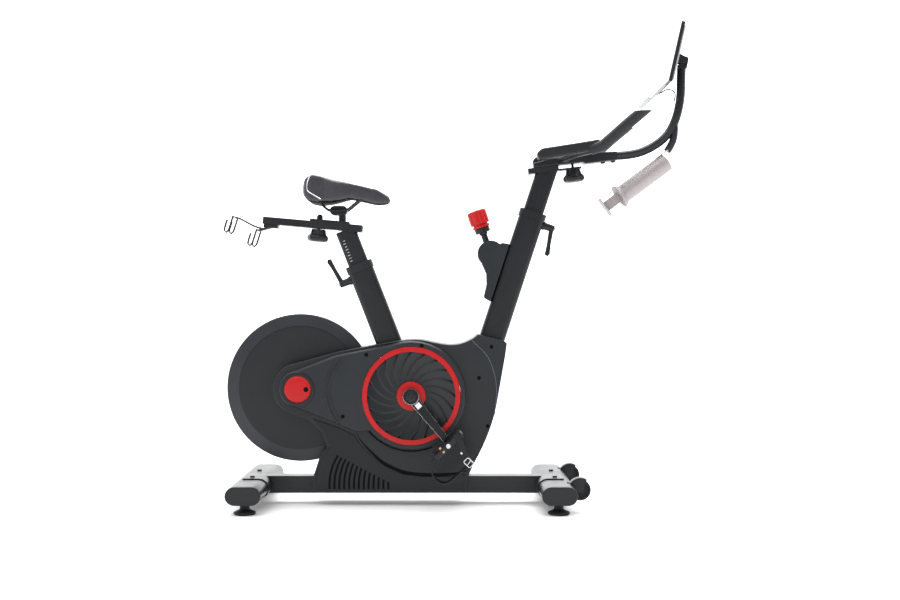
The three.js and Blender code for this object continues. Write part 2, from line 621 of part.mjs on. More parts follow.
const BEAM_END = 220;
const beamOutline = [
  [-28, 8.3], [116, 8.3], [124, 3.2], [BEAM_END, 3.6], [BEAM_END, 28.4], [172, 32], [60, 34],
  [-28, 22],
];
const stemBody = cut(
  prism(beamOutline, -24, 24),
  block(52, 150, -4.8, 4.8, 0, 25),
);
const BAR_STEPS = 16;
const barRoute = [
  [300, -14, 1010], [322, -52, 1014], [352, -88, 1023], [395, -112, 1032], [424, -126, 1046],
  [452, -142, 1070], [478, -157, 1093], [514, -175, 1123],
];
const bar = pipe(barRoute, 12.5, 10, BAR_STEPS);
const stem = join(headLocal(stemBody), bar, mirrored(bar));
piece("handlebar_stem", stem, BLACK_PAINT);

// Padded arm rests over the bars and foam grips on their ends.
const padSide = [
  [-88, -12], [-78, -16], [80, -16], [90, -10], [92, 2], [84, 14], [-72, 16.5], [-86, 10],
  [-92, 0],
];
const pad = placed(prism(padSide, -24, 24), 327, 1029.5, -10.5, -98);
const barSleeve = pipe(barRoute, 12.5 + GAP, 10, BAR_STEPS);
const gripRoute = [
  [412, -120, 1038], [424, -126, 1046], [452, -142, 1070], [478, -157, 1093], [521, -178, 1129],
  [560, -197, 1162],
];
const GRIP_TOP = 1130;
const grip = cut(
  pipe(gripRoute, 16.2, 12, 12),
  barSleeve,
  block(300, 700, -400, 400, GRIP_TOP, 1300),
);
pair("grip", grip, RUBBER);
const gripRoom = pipe(gripRoute, 16.2 + GAP, 12, 12);
const beamRoom = headLocal(prism(inset(beamOutline, -GAP), -25, 25));
pair("arm_pad", cut(pad, barSleeve, gripRoom, beamRoom), LEATHER);

const headKnob = clampKnob(18).translate([KNOB_ALONG_HEAD, 0, 4]);
piece("handlebar_knob", headLocal(headKnob), DARK_PLASTIC);

// ---------- screen arm, bottle sleeve and screen ----------
const armRoute = [
  [427.5, 0, 1024], [480, 0, 1024], [531, 0, 1031], [571, 0, 1047], [610, 0, 1074],
  [634, 0, 1106], [649.5, 0, 1145], [659.5, 0, 1197], [661.5, 0, 1256], [663, 0, 1290],
];
const branchRoute = [[641, 0, 1118], [642, 0, 1094], [636, 0, 1064], [620, 0, 1036]];
const screenArm = cut(
  join(
    pipe(armRoute, 13, 10, 24),
    pipe(branchRoute, 11, 10, 5),
    disc(PIVOT.x, PIVOT.z, 10, -13, 13, 20),
    prism([[650, 1280], [676, 1280], [681, 1303], [662, 1308]], -13, 13),
  ),
  disc(PIVOT.x, PIVOT.z, 4.6, -30, 30, 16),
  headLocal(block(-200, BEAM_END + GAP, -60, 60, -60, 60)),
);

function sleeveSection(grow) {
  const [deep, wide] = [BOTTLE.deep / 2 + grow, BOTTLE.wide / 2 + grow];
  return circle(0, 0, 1, 22).map(([x, y]) => [x * deep, y * wide]);
}

// The sleeve is built standing up, mouth at the top, then leaned forward.
const sleeveAxis = { x: 0, z: 0, lean: 0 };
const sleeve = cut(
  join(
    column(sleeveSection(0), sleeveAxis, -BOTTLE.length, 0),
    column(sleeveSection(9), sleeveAxis, -BOTTLE.length - 8, -BOTTLE.length - 3),
    column(sleeveSection(4), sleeveAxis, -BOTTLE.length - 4, -BOTTLE.length + 5),
    block(-15, 15, -10, 10, -BOTTLE.length - 58, -BOTTLE.length - 6),
    block(-31, 28, -24, 24, -BOTTLE.length - 61, -BOTTLE.length - 57),
    block(-28, -24, -16, 16, -20, 24),
  ),
  column(sleeveSection(-BOTTLE.wall), sleeveAxis, -BOTTLE.length + 5, 30),
);
const sleeveTurn = 90 - BOTTLE.slope;
const atSleeve = (body) => placed(body, BOTTLE.x, BOTTLE.z, sleeveTurn);
piece("bottle_sleeve", atSleeve(sleeve), ALUMINIUM);
const sleeveRoom = join(
  column(sleeveSection(GAP), sleeveAxis, -40, GAP),
  block(-28 - GAP, -24 + GAP, -16 - GAP, 16 + GAP, -20, 24 + GAP),
);
piece("screen_arm", cut(screenArm, atSleeve(sleeveRoom)), BLACK_PAINT);

const screenLocal = (body) => placed(body, SCREEN.x, SCREEN.z, SCREEN.lean);
const half = SCREEN.thick / 2;
const ears = [-19, 14].map((y) =>
  prism([[half + 3, -10], ...arc(43.9, 6.3, 9, -80, 110, 8), [half + 3, 24]], y, y + 5),
);
const screenSlab = (x0, x1, margin) =>
  block(
    x0, x1, margin - SCREEN.wide / 2, SCREEN.wide / 2 - margin, margin - SCREEN.tall / 2,
    SCREEN.tall / 2 - margin,
  );
const panel = join(
  screenSlab(-half, half, 0),
  screenSlab(half - 1, half + 5, 8),
  ...ears,
  disc(43.9, 6.3, 4, -21, 21, 14),
);
piece("screen_panel", screenLocal(panel), GLASS_BLACK);

const shelf = join(
  block(-62, 0, -95, 95, -3.5, 3.5),
  block(-62, -57, -95, 95, -3.5, 12),
);
piece("device_shelf", placed(shelf, 599, 1218, -45.3), PALE_PLASTIC);

const leadRoute = [
  [641.4, 0, 1184], [642.6, 0, 1192], [643.8, 0, 1200], [643, 0, 1208], [638, 0, 1215],
  [630, 0, 1218.5], [621, 0, 1219], [612, 0, 1216], [604.5, 0, 1210.5], [597.2, 0, 1207.8],
];
piece("charging_lead", pipe(leadRoute, 1.75, 8, 18), RUBBER);

// ---------- resistance control ----------
const podOutline = [
  [102, 591], [170, 591], [230, 762], [158, 762], [132, 766],
  ...arc(POD.x, POD.z, POD.radius, 45, 226, 14),
  [86, 675], [87, 644], [79, 609], [81, 603],
];
const behindHead = placed(
  block(-TUBE.deep / 2 - GAP, 200, -100, 100, -900, 900),
  HEAD_TUBE.x,
  HEAD_TUBE.z,
  HEAD_TUBE.lean,
);
const podLocal = (body) => placed(body, POD.x, POD.z, POD.knobLean);
const podHousing = cut(
  prism(podOutline, -POD.half, POD.half),
  behindHead,
  prism(inset(podOutline, 3), -POD.half + 3, POD.half - 3),
  podLocal(rod([0, 0, 20], [0, 0, 60], 10.6, 20)),
);
piece("resistance_pod", podHousing, SHELL_PLASTIC);

const plunger = [
  [0, 8], [9.5, 8], [9.5, 58], [13, 64], [22.5, 66], [22.5, 80], [0, 80],
];
piece("brake_plunger", upright(plunger, POD.x, POD.z, POD.knobLean, 20), DARK_PLASTIC);
const knobCap = [
  [0, 80 + GAP], [25.5, 80 + GAP], [25.5, 88], [22, 88.5], [22, 91.5], [29, 92], [29, 128], [25, 134],
  [0, 134],
];
piece("resistance_knob", upright(knobCap, POD.x, POD.z, POD.knobLean, 22), RED_PLASTIC);

export default bike;
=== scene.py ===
import json
import math

import bmesh
import bpy
from mathutils import Matrix, Vector
from mathutils.bvhtree import BVHTree

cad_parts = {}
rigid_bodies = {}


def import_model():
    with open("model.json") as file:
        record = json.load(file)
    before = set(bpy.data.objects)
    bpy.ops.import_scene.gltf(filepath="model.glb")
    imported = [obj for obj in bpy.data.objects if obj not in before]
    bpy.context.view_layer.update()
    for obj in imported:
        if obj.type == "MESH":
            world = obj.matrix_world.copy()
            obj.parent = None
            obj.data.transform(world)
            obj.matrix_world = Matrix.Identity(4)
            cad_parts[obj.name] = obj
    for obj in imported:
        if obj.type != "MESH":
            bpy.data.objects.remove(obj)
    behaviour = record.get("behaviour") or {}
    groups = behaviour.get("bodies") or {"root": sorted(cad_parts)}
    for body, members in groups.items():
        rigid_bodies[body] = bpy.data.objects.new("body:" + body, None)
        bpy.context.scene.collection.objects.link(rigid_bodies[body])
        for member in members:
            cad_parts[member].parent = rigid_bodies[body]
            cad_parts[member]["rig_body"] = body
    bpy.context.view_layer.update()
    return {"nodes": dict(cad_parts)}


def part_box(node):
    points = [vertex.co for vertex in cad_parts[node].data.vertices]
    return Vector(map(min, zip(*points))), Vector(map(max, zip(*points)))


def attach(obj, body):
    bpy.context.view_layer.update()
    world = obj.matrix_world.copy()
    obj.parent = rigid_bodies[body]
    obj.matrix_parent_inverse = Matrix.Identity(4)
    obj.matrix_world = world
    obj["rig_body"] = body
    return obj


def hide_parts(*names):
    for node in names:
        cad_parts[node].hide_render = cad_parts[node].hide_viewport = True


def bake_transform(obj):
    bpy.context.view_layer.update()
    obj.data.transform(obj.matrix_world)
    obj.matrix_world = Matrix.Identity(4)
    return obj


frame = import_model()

# ---------- camera ----------
# A level camera on the rider's right, at the height of the bike's middle.
# It is nearly four metres away, so the bike is seen square from the side.
camera_data = bpy.data.cameras.new("studio_camera")
camera_data.lens = 51.5
camera_data.sensor_width = 36
camera = bpy.data.objects.new("studio_camera", camera_data)
camera.location = (-0.0205, -3.8, 0.598)
camera.rotation_euler = (math.radians(90), 0, 0)
bpy.context.scene.collection.objects.link(camera)
bpy.context.scene.camera = camera


# ---------- charging lead ----------
# A short black rubber-covered lead from the screen arm to the underside of the device shelf.
# It is moulded round its wires, and is held by a small plug body at the shelf.
def noise_detail_group():
    """Fine grain, slow mottling and worn edges, as masks for any moulded or painted surface."""
    found = bpy.data.node_groups.get("surface_detail")
    if found:
        return found
    group = bpy.data.node_groups.new("surface_detail", "ShaderNodeTree")
    for name, value in (("Grain Scale", 900.0), ("Mottle Scale", 14.0), ("Wear", 0.3)):
        socket = group.interface.new_socket(name, in_out="INPUT", socket_type="NodeSocketFloat")
        socket.default_value = value
    for name in ("Grain", "Mottle", "Edge"):
        group.interface.new_socket(name, in_out="OUTPUT", socket_type="NodeSocketFloat")
    nodes, links = group.nodes, group.links
    given = nodes.new("NodeGroupInput")
    out = nodes.new("NodeGroupOutput")
    place = nodes.new("ShaderNodeTexCoord")
    grain = nodes.new("ShaderNodeTexNoise")
    grain.inputs["Detail"].default_value = 3
    mottle = nodes.new("ShaderNodeTexNoise")
    mottle.inputs["Detail"].default_value = 5
    shape = nodes.new("ShaderNodeNewGeometry")
    sharp = nodes.new("ShaderNodeMapRange")
    sharp.inputs["From Min"].default_value = 0.52
    sharp.inputs["From Max"].default_value = 0.66
    broken = nodes.new("ShaderNodeMath")
    broken.operation = "MULTIPLY"
    amount = nodes.new("ShaderNodeMath")
    amount.operation = "MULTIPLY"
    links.new(place.outputs["Object"], grain.inputs["Vector"])
    links.new(place.outputs["Object"], mottle.inputs["Vector"])
    links.new(given.outputs["Grain Scale"], grain.inputs["Scale"])
    links.new(given.outputs["Mottle Scale"], mottle.inputs["Scale"])
    links.new(shape.outputs["Pointiness"], sharp.inputs["Value"])
    links.new(sharp.outputs["Result"], broken.inputs[0])
    links.new(mottle.outputs["Fac"], broken.inputs[1])
    links.new(broken.outputs["Value"], amount.inputs[0])
    links.new(given.outputs["Wear"], amount.inputs[1])
    links.new(grain.outputs["Fac"], out.inputs["Grain"])
    links.new(mottle.outputs["Fac"], out.inputs["Mottle"])
    links.new(amount.outputs["Value"], out.inputs["Edge"])
    return group


def surface(name, dark, light, rough, swing=0.08, grain=900.0, depth=0.00004, wear=0.3,
            metallic=0.0, coat=0.0, mottle=14.0, specular=0.26):
    """A finish whose colour drifts from dark to light, with grain in its bump and worn edges."""
    material = bpy.data.materials.new(name)
    material.use_nodes = True
    nodes, links = material.node_tree.nodes, material.node_tree.links
    shader = nodes["Principled BSDF"]
    shader.inputs["Metallic"].default_value = metallic
    shader.inputs["Coat Weight"].default_value = coat
    shader.inputs["Specular IOR Level"].default_value = specular
    detail = nodes.new("ShaderNodeGroup")
    detail.name = "detail"
    detail.node_tree = noise_detail_group()
    detail.inputs["Grain Scale"].default_value = grain
    detail.inputs["Mottle Scale"].default_value = mottle
    detail.inputs["Wear"].default_value = wear
    drift = nodes.new("ShaderNodeMix")
    drift.data_type = "RGBA"
    drift.inputs[6].default_value = (*dark, 1)
    drift.inputs[7].default_value = (*light, 1)
    worn = nodes.new("ShaderNodeMix")
    worn.name = "colour"
    worn.data_type = "RGBA"
    worn.inputs[7].default_value = (*(min(1, 2 * c + 0.01) for c in light), 1)
    gloss = nodes.new("ShaderNodeMapRange")
    gloss.name = "gloss"
    gloss.inputs["To Min"].default_value = rough - swing
    gloss.inputs["To Max"].default_value = rough + swing
    bump = nodes.new("ShaderNodeBump")
    bump.name = "bump"
    bump.inputs["Strength"].default_value = 0.6
    bump.inputs["Distance"].default_value = depth
    links.new(detail.outputs["Mottle"], drift.inputs["Factor"])
    links.new(drift.outputs[2], worn.inputs[6])
    links.new(detail.outputs["Edge"], worn.inputs["Factor"])
    links.new(worn.outputs[2], shader.inputs["Base Color"])
    links.new(detail.outputs["Mottle"], gloss.inputs["Value"])
    links.new(gloss.outputs["Result"], shader.inputs["Roughness"])
    links.new(detail.outputs["Grain"], bump.inputs["Height"])
    links.new(bump.outputs["Normal"], shader.inputs["Normal"])
    return material


def metres(points):
    """Points given in millimetres, in metres."""
    return [tuple(value / 1000 for value in point) for point in points]


def smooth_route(points, steps):
    """Points along a smooth curve that passes through all the given ones, so many to a stretch."""
    knots = [Vector(p) for p in points]
    padded = [2 * knots[0] - knots[1], *knots, 2 * knots[-1] - knots[-2]]
    route = []
    for i in range(1, len(padded) - 2):
        a, b, c, d = padded[i - 1 : i + 3]
        for step in range(steps):
            t = step / steps
            route.append(0.5 * (2 * b + (c - a) * t + (2 * a - 5 * b + 4 * c - d) * t * t
                                + (3 * b - a - 3 * c + d) * t * t * t))
    return [*route, knots[-1]]


def swept(route, radii, sides=24):
    """A round bar along a route, as an open bmesh; radii is one radius or one for each point."""
    shape = bmesh.new()
    if not isinstance(radii, (list, tuple)):
        radii = [radii] * len(route)
    rings = []
    side_way = Vector((0, 1, 0))
    for i, point in enumerate(route):
        ahead = (route[min(i + 1, len(route) - 1)] - route[max(i - 1, 0)]).normalized()
        across = (side_way - ahead * side_way.dot(ahead)).normalized()
        side_way = across
        turn = Matrix((across, ahead.cross(across), ahead)).transposed().to_4x4()
        ring = bmesh.ops.create_circle(shape, segments=sides, radius=radii[i],
                                       matrix=Matrix.Translation(point) @ turn)["verts"]
        rings.append([e for e in shape.edges if all(v in ring for v in e.verts)])
    for near, far in zip(rings, rings[1:]):
        bmesh.ops.bridge_loops(shape, edges=[*near, *far])
    for end in (rings[0], rings[-1]):
        bmesh.ops.edgeloop_fill(shape, edges=end)
    bmesh.ops.recalc_face_normals(shape, faces=shape.faces)
    return shape


def made(name, shape, materials, body, slot, *nodes, corner=32, weighted=True):
    """Turns a bmesh into a piece with smooth faces and crisp corners that rides on a body."""
    for face in shape.faces:
        face.smooth = True
    for edge in shape.edges:
        edge.smooth = edge.calc_face_angle(0) < math.radians(corner)
    mesh = bpy.data.meshes.new(name)
    shape.to_mesh(mesh)
    shape.free()
    for material in materials if isinstance(materials, (list, tuple)) else [materials]:
        mesh.materials.append(material)
    piece = bpy.data.objects.new(name, mesh)
    bpy.context.scene.collection.objects.link(piece)
    if weighted:
        piece.modifiers.new("even_normals", "WEIGHTED_NORMAL").keep_sharp = True
    if body:
        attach(piece, body)
    if nodes:
        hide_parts(*nodes)
    return piece


black_rubber = surface("black_rubber", (0.007, 0.0075, 0.009), (0.013, 0.014, 0.016), 0.62,
                       grain=1400, depth=0.00006, wear=0.15)
LEAD_DIAMETER = 0.0035
lead_points = metres([
    (641.4, 0, 1184), (642.6, 0, 1192), (643.8, 0, 1200), (643, 0, 1208), (638, 0, 1215),
    (630, 0, 1218.5), (621, 0, 1219), (612, 0, 1216), (604.5, 0, 1210.5), (597.2, 0, 1207.8),
])
lead_route = smooth_route(lead_points, 3)
lead = made("charging_lead_finish", swept(lead_route, LEAD_DIAMETER / 2, 16), black_rubber,
            None, "rubber", "charging_lead", weighted=False)
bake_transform(lead)

# ---------- floor and light ----------
# A pale studio floor that runs far behind the bike, under a white sky that is
# brightest behind and above, with two soft panels.
floor_shape = bmesh.new()
bmesh.ops.create_grid(floor_shape, x_segments=1, y_segments=1, size=40)
floor_mesh = bpy.data.meshes.new("studio_floor")
floor_shape.to_mesh(floor_mesh)
floor_shape.free()
floor_mesh.materials.append(
    surface("pale_floor", (0.93, 0.93, 0.935), (0.95, 0.95, 0.95), 0.9, wear=0, depth=0.0)
)
floor = bpy.data.objects.new("studio_floor", floor_mesh)
bpy.context.scene.collection.objects.link(floor)

SKY_BEFORE = 0.42
SKY_BEHIND = 2.3
world = bpy.data.worlds.new("white_studio")
world.use_nodes = True
sky_nodes, sky_links = world.node_tree.nodes, world.node_tree.links
sky_way = sky_nodes.new("ShaderNodeTexCoord")
sky_parts = sky_nodes.new("ShaderNodeSeparateXYZ")
sky_rise = sky_nodes.new("ShaderNodeMath")
sky_rise.operation = "MULTIPLY_ADD"
sky_rise.inputs[1].default_value = 0.9
sky_depth = sky_nodes.new("ShaderNodeMapRange")
sky_depth.inputs["From Min"].default_value = -0.55
sky_depth.inputs["From Max"].default_value = 0.75
sky_depth.inputs["To Min"].default_value = SKY_BEFORE
sky_depth.inputs["To Max"].default_value = SKY_BEHIND
sky_links.new(sky_way.outputs["Generated"], sky_parts.inputs["Vector"])
sky_links.new(sky_parts.outputs["Z"], sky_rise.inputs[0])
sky_links.new(sky_parts.outputs["Y"], sky_rise.inputs[2])
sky_links.new(sky_rise.outputs["Value"], sky_depth.inputs["Value"])
sky_links.new(sky_depth.outputs["Result"], sky_nodes["Background"].inputs["Strength"])
sky_nodes["Background"].inputs["Color"].default_value = (1, 1, 1, 1)
bpy.context.scene.world = world
bpy.context.scene.view_settings.view_transform = "Standard"


def soft_panel(name, place, aim, size, power):
    """A rectangular soft light at a place, turned to face another."""
    light = bpy.data.lights.new(name, "AREA")
    light.shape = "RECTANGLE"
    light.size, light.size_y = size
    light.energy = power
    lamp = bpy.data.objects.new(name, light)
    lamp.location = place
    lamp.rotation_euler = (Vector(aim) - Vector(place)).to_track_quat("-Z", "Y").to_euler()
    bpy.context.scene.collection.objects.link(lamp)


soft_panel("key_panel", (-1.4, -2.6, 3.2), (0, 0, 0.6), (2.4, 1.6), 26)
soft_panel("top_panel", (0.2, 0.9, 3.2), (0, 0, 0.6), (3.6, 1.6), 90)


# ---------- base beam and floor tubes ----------
# A welded box beam whose bent end plates wrap the oval cross tubes, all in satin black powder coat.
# Two bolts through each plate hold a cross tube.
def dressed(node, soften=0.0012, segments=2, corner=35, where=None, edge_material=-1,
            clamp=True):
    """A merged copy of a CAD node's shape with its corners rounded over."""
    shape = bmesh.new()
    shape.from_mesh(frame["nodes"][node].data)
    bmesh.ops.remove_doubles(shape, verts=shape.verts, dist=0.00002)
    bmesh.ops.dissolve_limit(shape, angle_limit=math.radians(1.5), verts=shape.verts,
                             edges=shape.edges)
    sharp = [
        edge for edge in shape.edges
        if edge.calc_face_angle(0) > math.radians(corner) and (where is None or where(edge))
    ]
    for face in shape.faces:
        face.material_index = 0
    bmesh.ops.bevel(shape, geom=sharp, offset=soften, segments=segments, profile=0.5,
                    affect="EDGES", material=edge_material, clamp_overlap=clamp)
    return shape


def dress(node, materials, slot, **how):
    """Replaces one CAD node by its rounded copy, on the node's own body."""
    body = frame["nodes"][node]["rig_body"]
    return made(node + "_finish", dressed(node, **how), materials, body, slot, node)


powder_coat = surface("powder_coat", (0.007, 0.0085, 0.010), (0.012, 0.014, 0.017), 0.3,
                      grain=1600, depth=0.00003, wear=0.4)
for node in ("base_beam", "rear_stabilizer", "front_stabilizer"):
    dress(node, powder_coat, "frame_paint", soften=0.0008)

# ---------- tube end caps ----------
# Push-in oval caps moulded in smooth dark plastic, one in each end of the two cross tubes.
# A rounded lip covers the tube's cut edge.
smooth_plastic = surface("smooth_plastic", (0.006, 0.007, 0.009), (0.011, 0.013, 0.015), 0.34,
                         grain=1200, depth=0.00003, wear=0.3)
CAP_FACE = 0.2535
for end in ("rear", "front"):
    for side in ("right", "left"):
        dress(f"end_cap_{end}_{side}", smooth_plastic, "dark_plastic", soften=0.003, segments=3,
              where=lambda edge: min(abs(v.co.y) for v in edge.verts) > CAP_FACE)


# ---------- screw feet ----------
# Round rubber pads moulded on threaded steel studs that screw up into the cross tubes.
# Turning one lifts or lowers its corner.
def spun(profile, matrix=Matrix(), steps=48):
    """A profile of (radius, height) turned all the way round Z, then placed by a matrix."""
    shape = bmesh.new()
    verts = [shape.verts.new((radius, 0, height)) for radius, height in profile]
    edges = [shape.edges.new(pair) for pair in zip(verts, verts[1:])]
    bmesh.ops.spin(shape, geom=[*verts, *edges], cent=(0, 0, 0), axis=(0, 0, 1),
                   dvec=(0, 0, 0), angle=math.tau, steps=steps, use_merge=True,
                   use_duplicate=False)
    bmesh.ops.remove_doubles(shape, verts=shape.verts, dist=0.00001)
    bmesh.ops.recalc_face_normals(shape, faces=shape.faces)
    bmesh.ops.transform(shape, matrix=matrix, verts=shape.verts)
    return shape


foot_profile = metres([
    (0, 0), (27, 0), (28.5, 1), (29, 2.5), (31, 3), (31, 6.5), (30, 8), (24, 10.5), (19, 12.5),
    (15, 15), (13.5, 18), (13.5, 27.5), (12.5, 28.4), (5, 28.4), (5, 52), (0, 52),
])
for end in ("rear", "front"):
    for side in ("right", "left"):
        name = f"foot_{end}_{side}"
        low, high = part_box(name)
        middle = (low + high) / 2
        made(name + "_finish", spun(foot_profile, Matrix.Translation((middle.x, middle.y, 0))),
             black_rubber, name, "rubber", name)

# ---------- transport wheels and guards ----------
# Two hard rubber wheels on steel pins, each in a moulded guard that hugs the front cross tube.
# They carry the bike when it is tipped forward.
ABOUT_Y = Matrix.Rotation(math.radians(90), 4, "X")


def axle_at(x, y, z):
    """Places a spun shape so that its own Z axis runs along -Y from the given point."""
    return Matrix.Translation((x, y, z)) @ ABOUT_Y


wheel_profile = metres([
    (4.5, -9.4), (11, -9.4), (12, -7), (21, -7), (22.5, -9.4), (27.5, -10), (29.4, -8.8),
    (30, -6.5), (30, 6.5), (29.4, 8.8), (27.5, 10), (22.5, 9.4), (21, 7), (12, 7), (11, 9.4),
    (4.5, 9.4), (4.5, -9.4),
])
for side in ("right", "left"):
    name = f"transport_wheel_{side}"
    low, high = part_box(name)
    middle = (low + high) / 2
    made(name + "_finish", spun(wheel_profile, axle_at(*middle)), black_rubber,
         f"wheel_{side}", "rubber", name)
    dress(f"wheel_guard_{side}", smooth_plastic, "dark_plastic", soften=0.0006)

# ---------- frame tubes ----------
# Rounded box tubes of painted steel, welded to the beam in a V round the drive frame.
# Each has a collar at its rim, where the post slides in, and a boss for its lever.
for node in ("seat_tube", "head_tube"):
    dress(node, powder_coat, "frame_paint", soften=0.001, corner=50)
dress("drive_frame", powder_coat, "frame_paint", soften=0.0006)


# ---------- side shells ----------
# Two moulded half shells with a finely textured face, screwed together over the belt drive.
# A raised teardrop carries the crank ring and hub cap; the lower leg has a vented panel.
crank_low, crank_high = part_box("crank_spindle")
CRANK = (crank_low + crank_high) / 2
hub_low, hub_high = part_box("flywheel")
HUB = (hub_low + hub_high) / 2
SHELL_FACE = 0.086
LEG_FACE = 0.064
MOUTH_RADIUS = 0.147


def on_face(edge, depth):
    """Whether an edge lies on either shell's face at this distance from the middle plane."""
    return all(abs(abs(v.co.y) - depth) < 0.0003 for v in edge.verts)


def in_mouth(edge):
    """Whether an edge belongs to the round opening behind the crank ring."""
    return all((Vector((v.co.x, 0, v.co.z)) - CRANK).length < MOUTH_RADIUS for v in edge.verts)


textured_plastic = surface("textured_plastic", (0.009, 0.011, 0.013), (0.015, 0.018, 0.021), 0.4,
                           grain=2200, depth=0.00006, wear=0.35)
for side in ("right", "left"):
    node = f"side_shell_{side}"
    shape = dressed(node, soften=0.008, segments=3, clamp=False,
                    where=lambda edge: on_face(edge, SHELL_FACE) and not in_mouth(edge))
    rim = [
        edge for edge in shape.edges
        if on_face(edge, LEG_FACE) and edge.calc_face_angle(0) > math.radians(35)
    ]
    bmesh.ops.bevel(shape, geom=rim, offset=0.003, segments=3, profile=0.5, affect="EDGES",
                    material=-1, clamp_overlap=True)
    made(node + "_finish", shape, textured_plastic, "frame", "shell_plastic", node)


def plate(points, near, far):
    """An outline of (x, z) made solid between two depths."""
    shape = bmesh.new()
    face = shape.faces.new([shape.verts.new((x, near, z)) for x, z in points])
    grown = bmesh.ops.extrude_face_region(shape, geom=[face])["geom"]
    moved = [v for v in grown if isinstance(v, bmesh.types.BMVert)]
    bmesh.ops.translate(shape, verts=moved, vec=(0, far - near, 0))
    bmesh.ops.recalc_face_normals(shape, faces=shape.faces)
    return shape


def rounded(shape, width, segments=2, corner=35):
    """The shape with every edge sharper than the corner angle rounded over."""
    sharp = [edge for edge in shape.edges if edge.calc_face_angle(0) > math.radians(corner)]
    bmesh.ops.bevel(shape, geom=sharp, offset=width, segments=segments, profile=0.5,
                    affect="EDGES", material=-1, clamp_overlap=True)
    return shape


def flipped(shape, side):
    """The shape as made for the right, or its mirror image for the left."""
    if side == "left":
        bmesh.ops.scale(shape, vec=(1, -1, 1), verts=shape.verts)
        bmesh.ops.reverse_faces(shape, faces=shape.faces)
    return shape


def added(shape, other):
    """Puts a second bmesh's faces into the first."""
    spare = bpy.data.meshes.new("spare")
    other.to_mesh(spare)
    other.free()
    shape.from_mesh(spare)
    bpy.data.meshes.remove(spare)
    return shape


def band(centre, inner, outer, start, end, near, far, steps=24):
    """A flat curved bar round a centre, angles in degrees anticlockwise from +X."""
    def ring(radius, angles):
        return [
            (centre.x + radius * math.cos(math.radians(a)),
             centre.z + radius * math.sin(math.radians(a)))
            for a in angles
        ]
    angles = [start + (end - start) * i / steps for i in range(steps + 1)]
    return plate([*ring(outer, angles), *ring(inner, reversed(angles))], near, far)


leg_outline = metres([
    (-410, 43), (19, 43), (24, 82), (27, 94), (-18, 86), (-100, 86), (-157, 93), (-212, 118),
    (-252, 150), (-286, 185), (-297, 205), (-348, 229), (-420, 254), (-388, 217), (-369, 172),
    (-391, 144), (-405, 104), (-412, 77),
])
groove_top = metres([
    (-291, 212), (-280, 193), (-247.5, 160), (-209.5, 128.5), (-155, 104), (-100, 96.5),
    (-18, 96.5), (30, 105),
])
groove_widths = metres([(w,) for w in (2, 5, 9, 11, 11, 10, 8, 3)])
VENT_COUNT = 13
VENT_STEP = 0.0142
VENT_BEND = 0.16
VENT_HALF = 0.003
RIB_RADII = (0.128, 0.139)
RIB_HALF = 0.003
rib_centre = Vector((-0.2405, 0, 0.336))
seam_points = metres([
    (42, -65, 482), (87, -65, 436), (109, -65, 381), (114.5, -65, 333), (112.5, -65, 303),
    (109, -65, 266),
])
low_screws = metres([(64, 372), (89, 232), (100, 462), (-400.5, 61)])
high_screws = metres([(-102, 467), (-262, 440), (-330, 262)])
screw_profile = metres([(2.2, 0.4), (2.4, 2.6), (4.6, 2.4), (5.4, 1.4), (5.6, 0)])
# Near-black with little sheen, as painted shade: under the raised cover, along the groove, in the
# vent slots, screw wells and cap hole, and under the saddle.
painted_shade_black = surface("painted_shade_black", (0.001, 0.001, 0.0012), (0.002, 0.002, 0.0025), 0.7, wear=0,
                      specular=0.1)
# A darker copy of the shell plastic for the leg panel, as painted shade on the lower cover.
shaded_leg_plastic = surface("shaded_leg_plastic", (0.003, 0.004, 0.005), (0.006, 0.007, 0.009), 0.34,
                      grain=1500, depth=0.00003, wear=0.3, specular=0.25)
# Far lighter than the shell, as a painted highlight along the seam ridge.
seam_highlight = surface("seam_highlight", (0.05, 0.055, 0.065), (0.09, 0.1, 0.115), 0.3, wear=0.3)

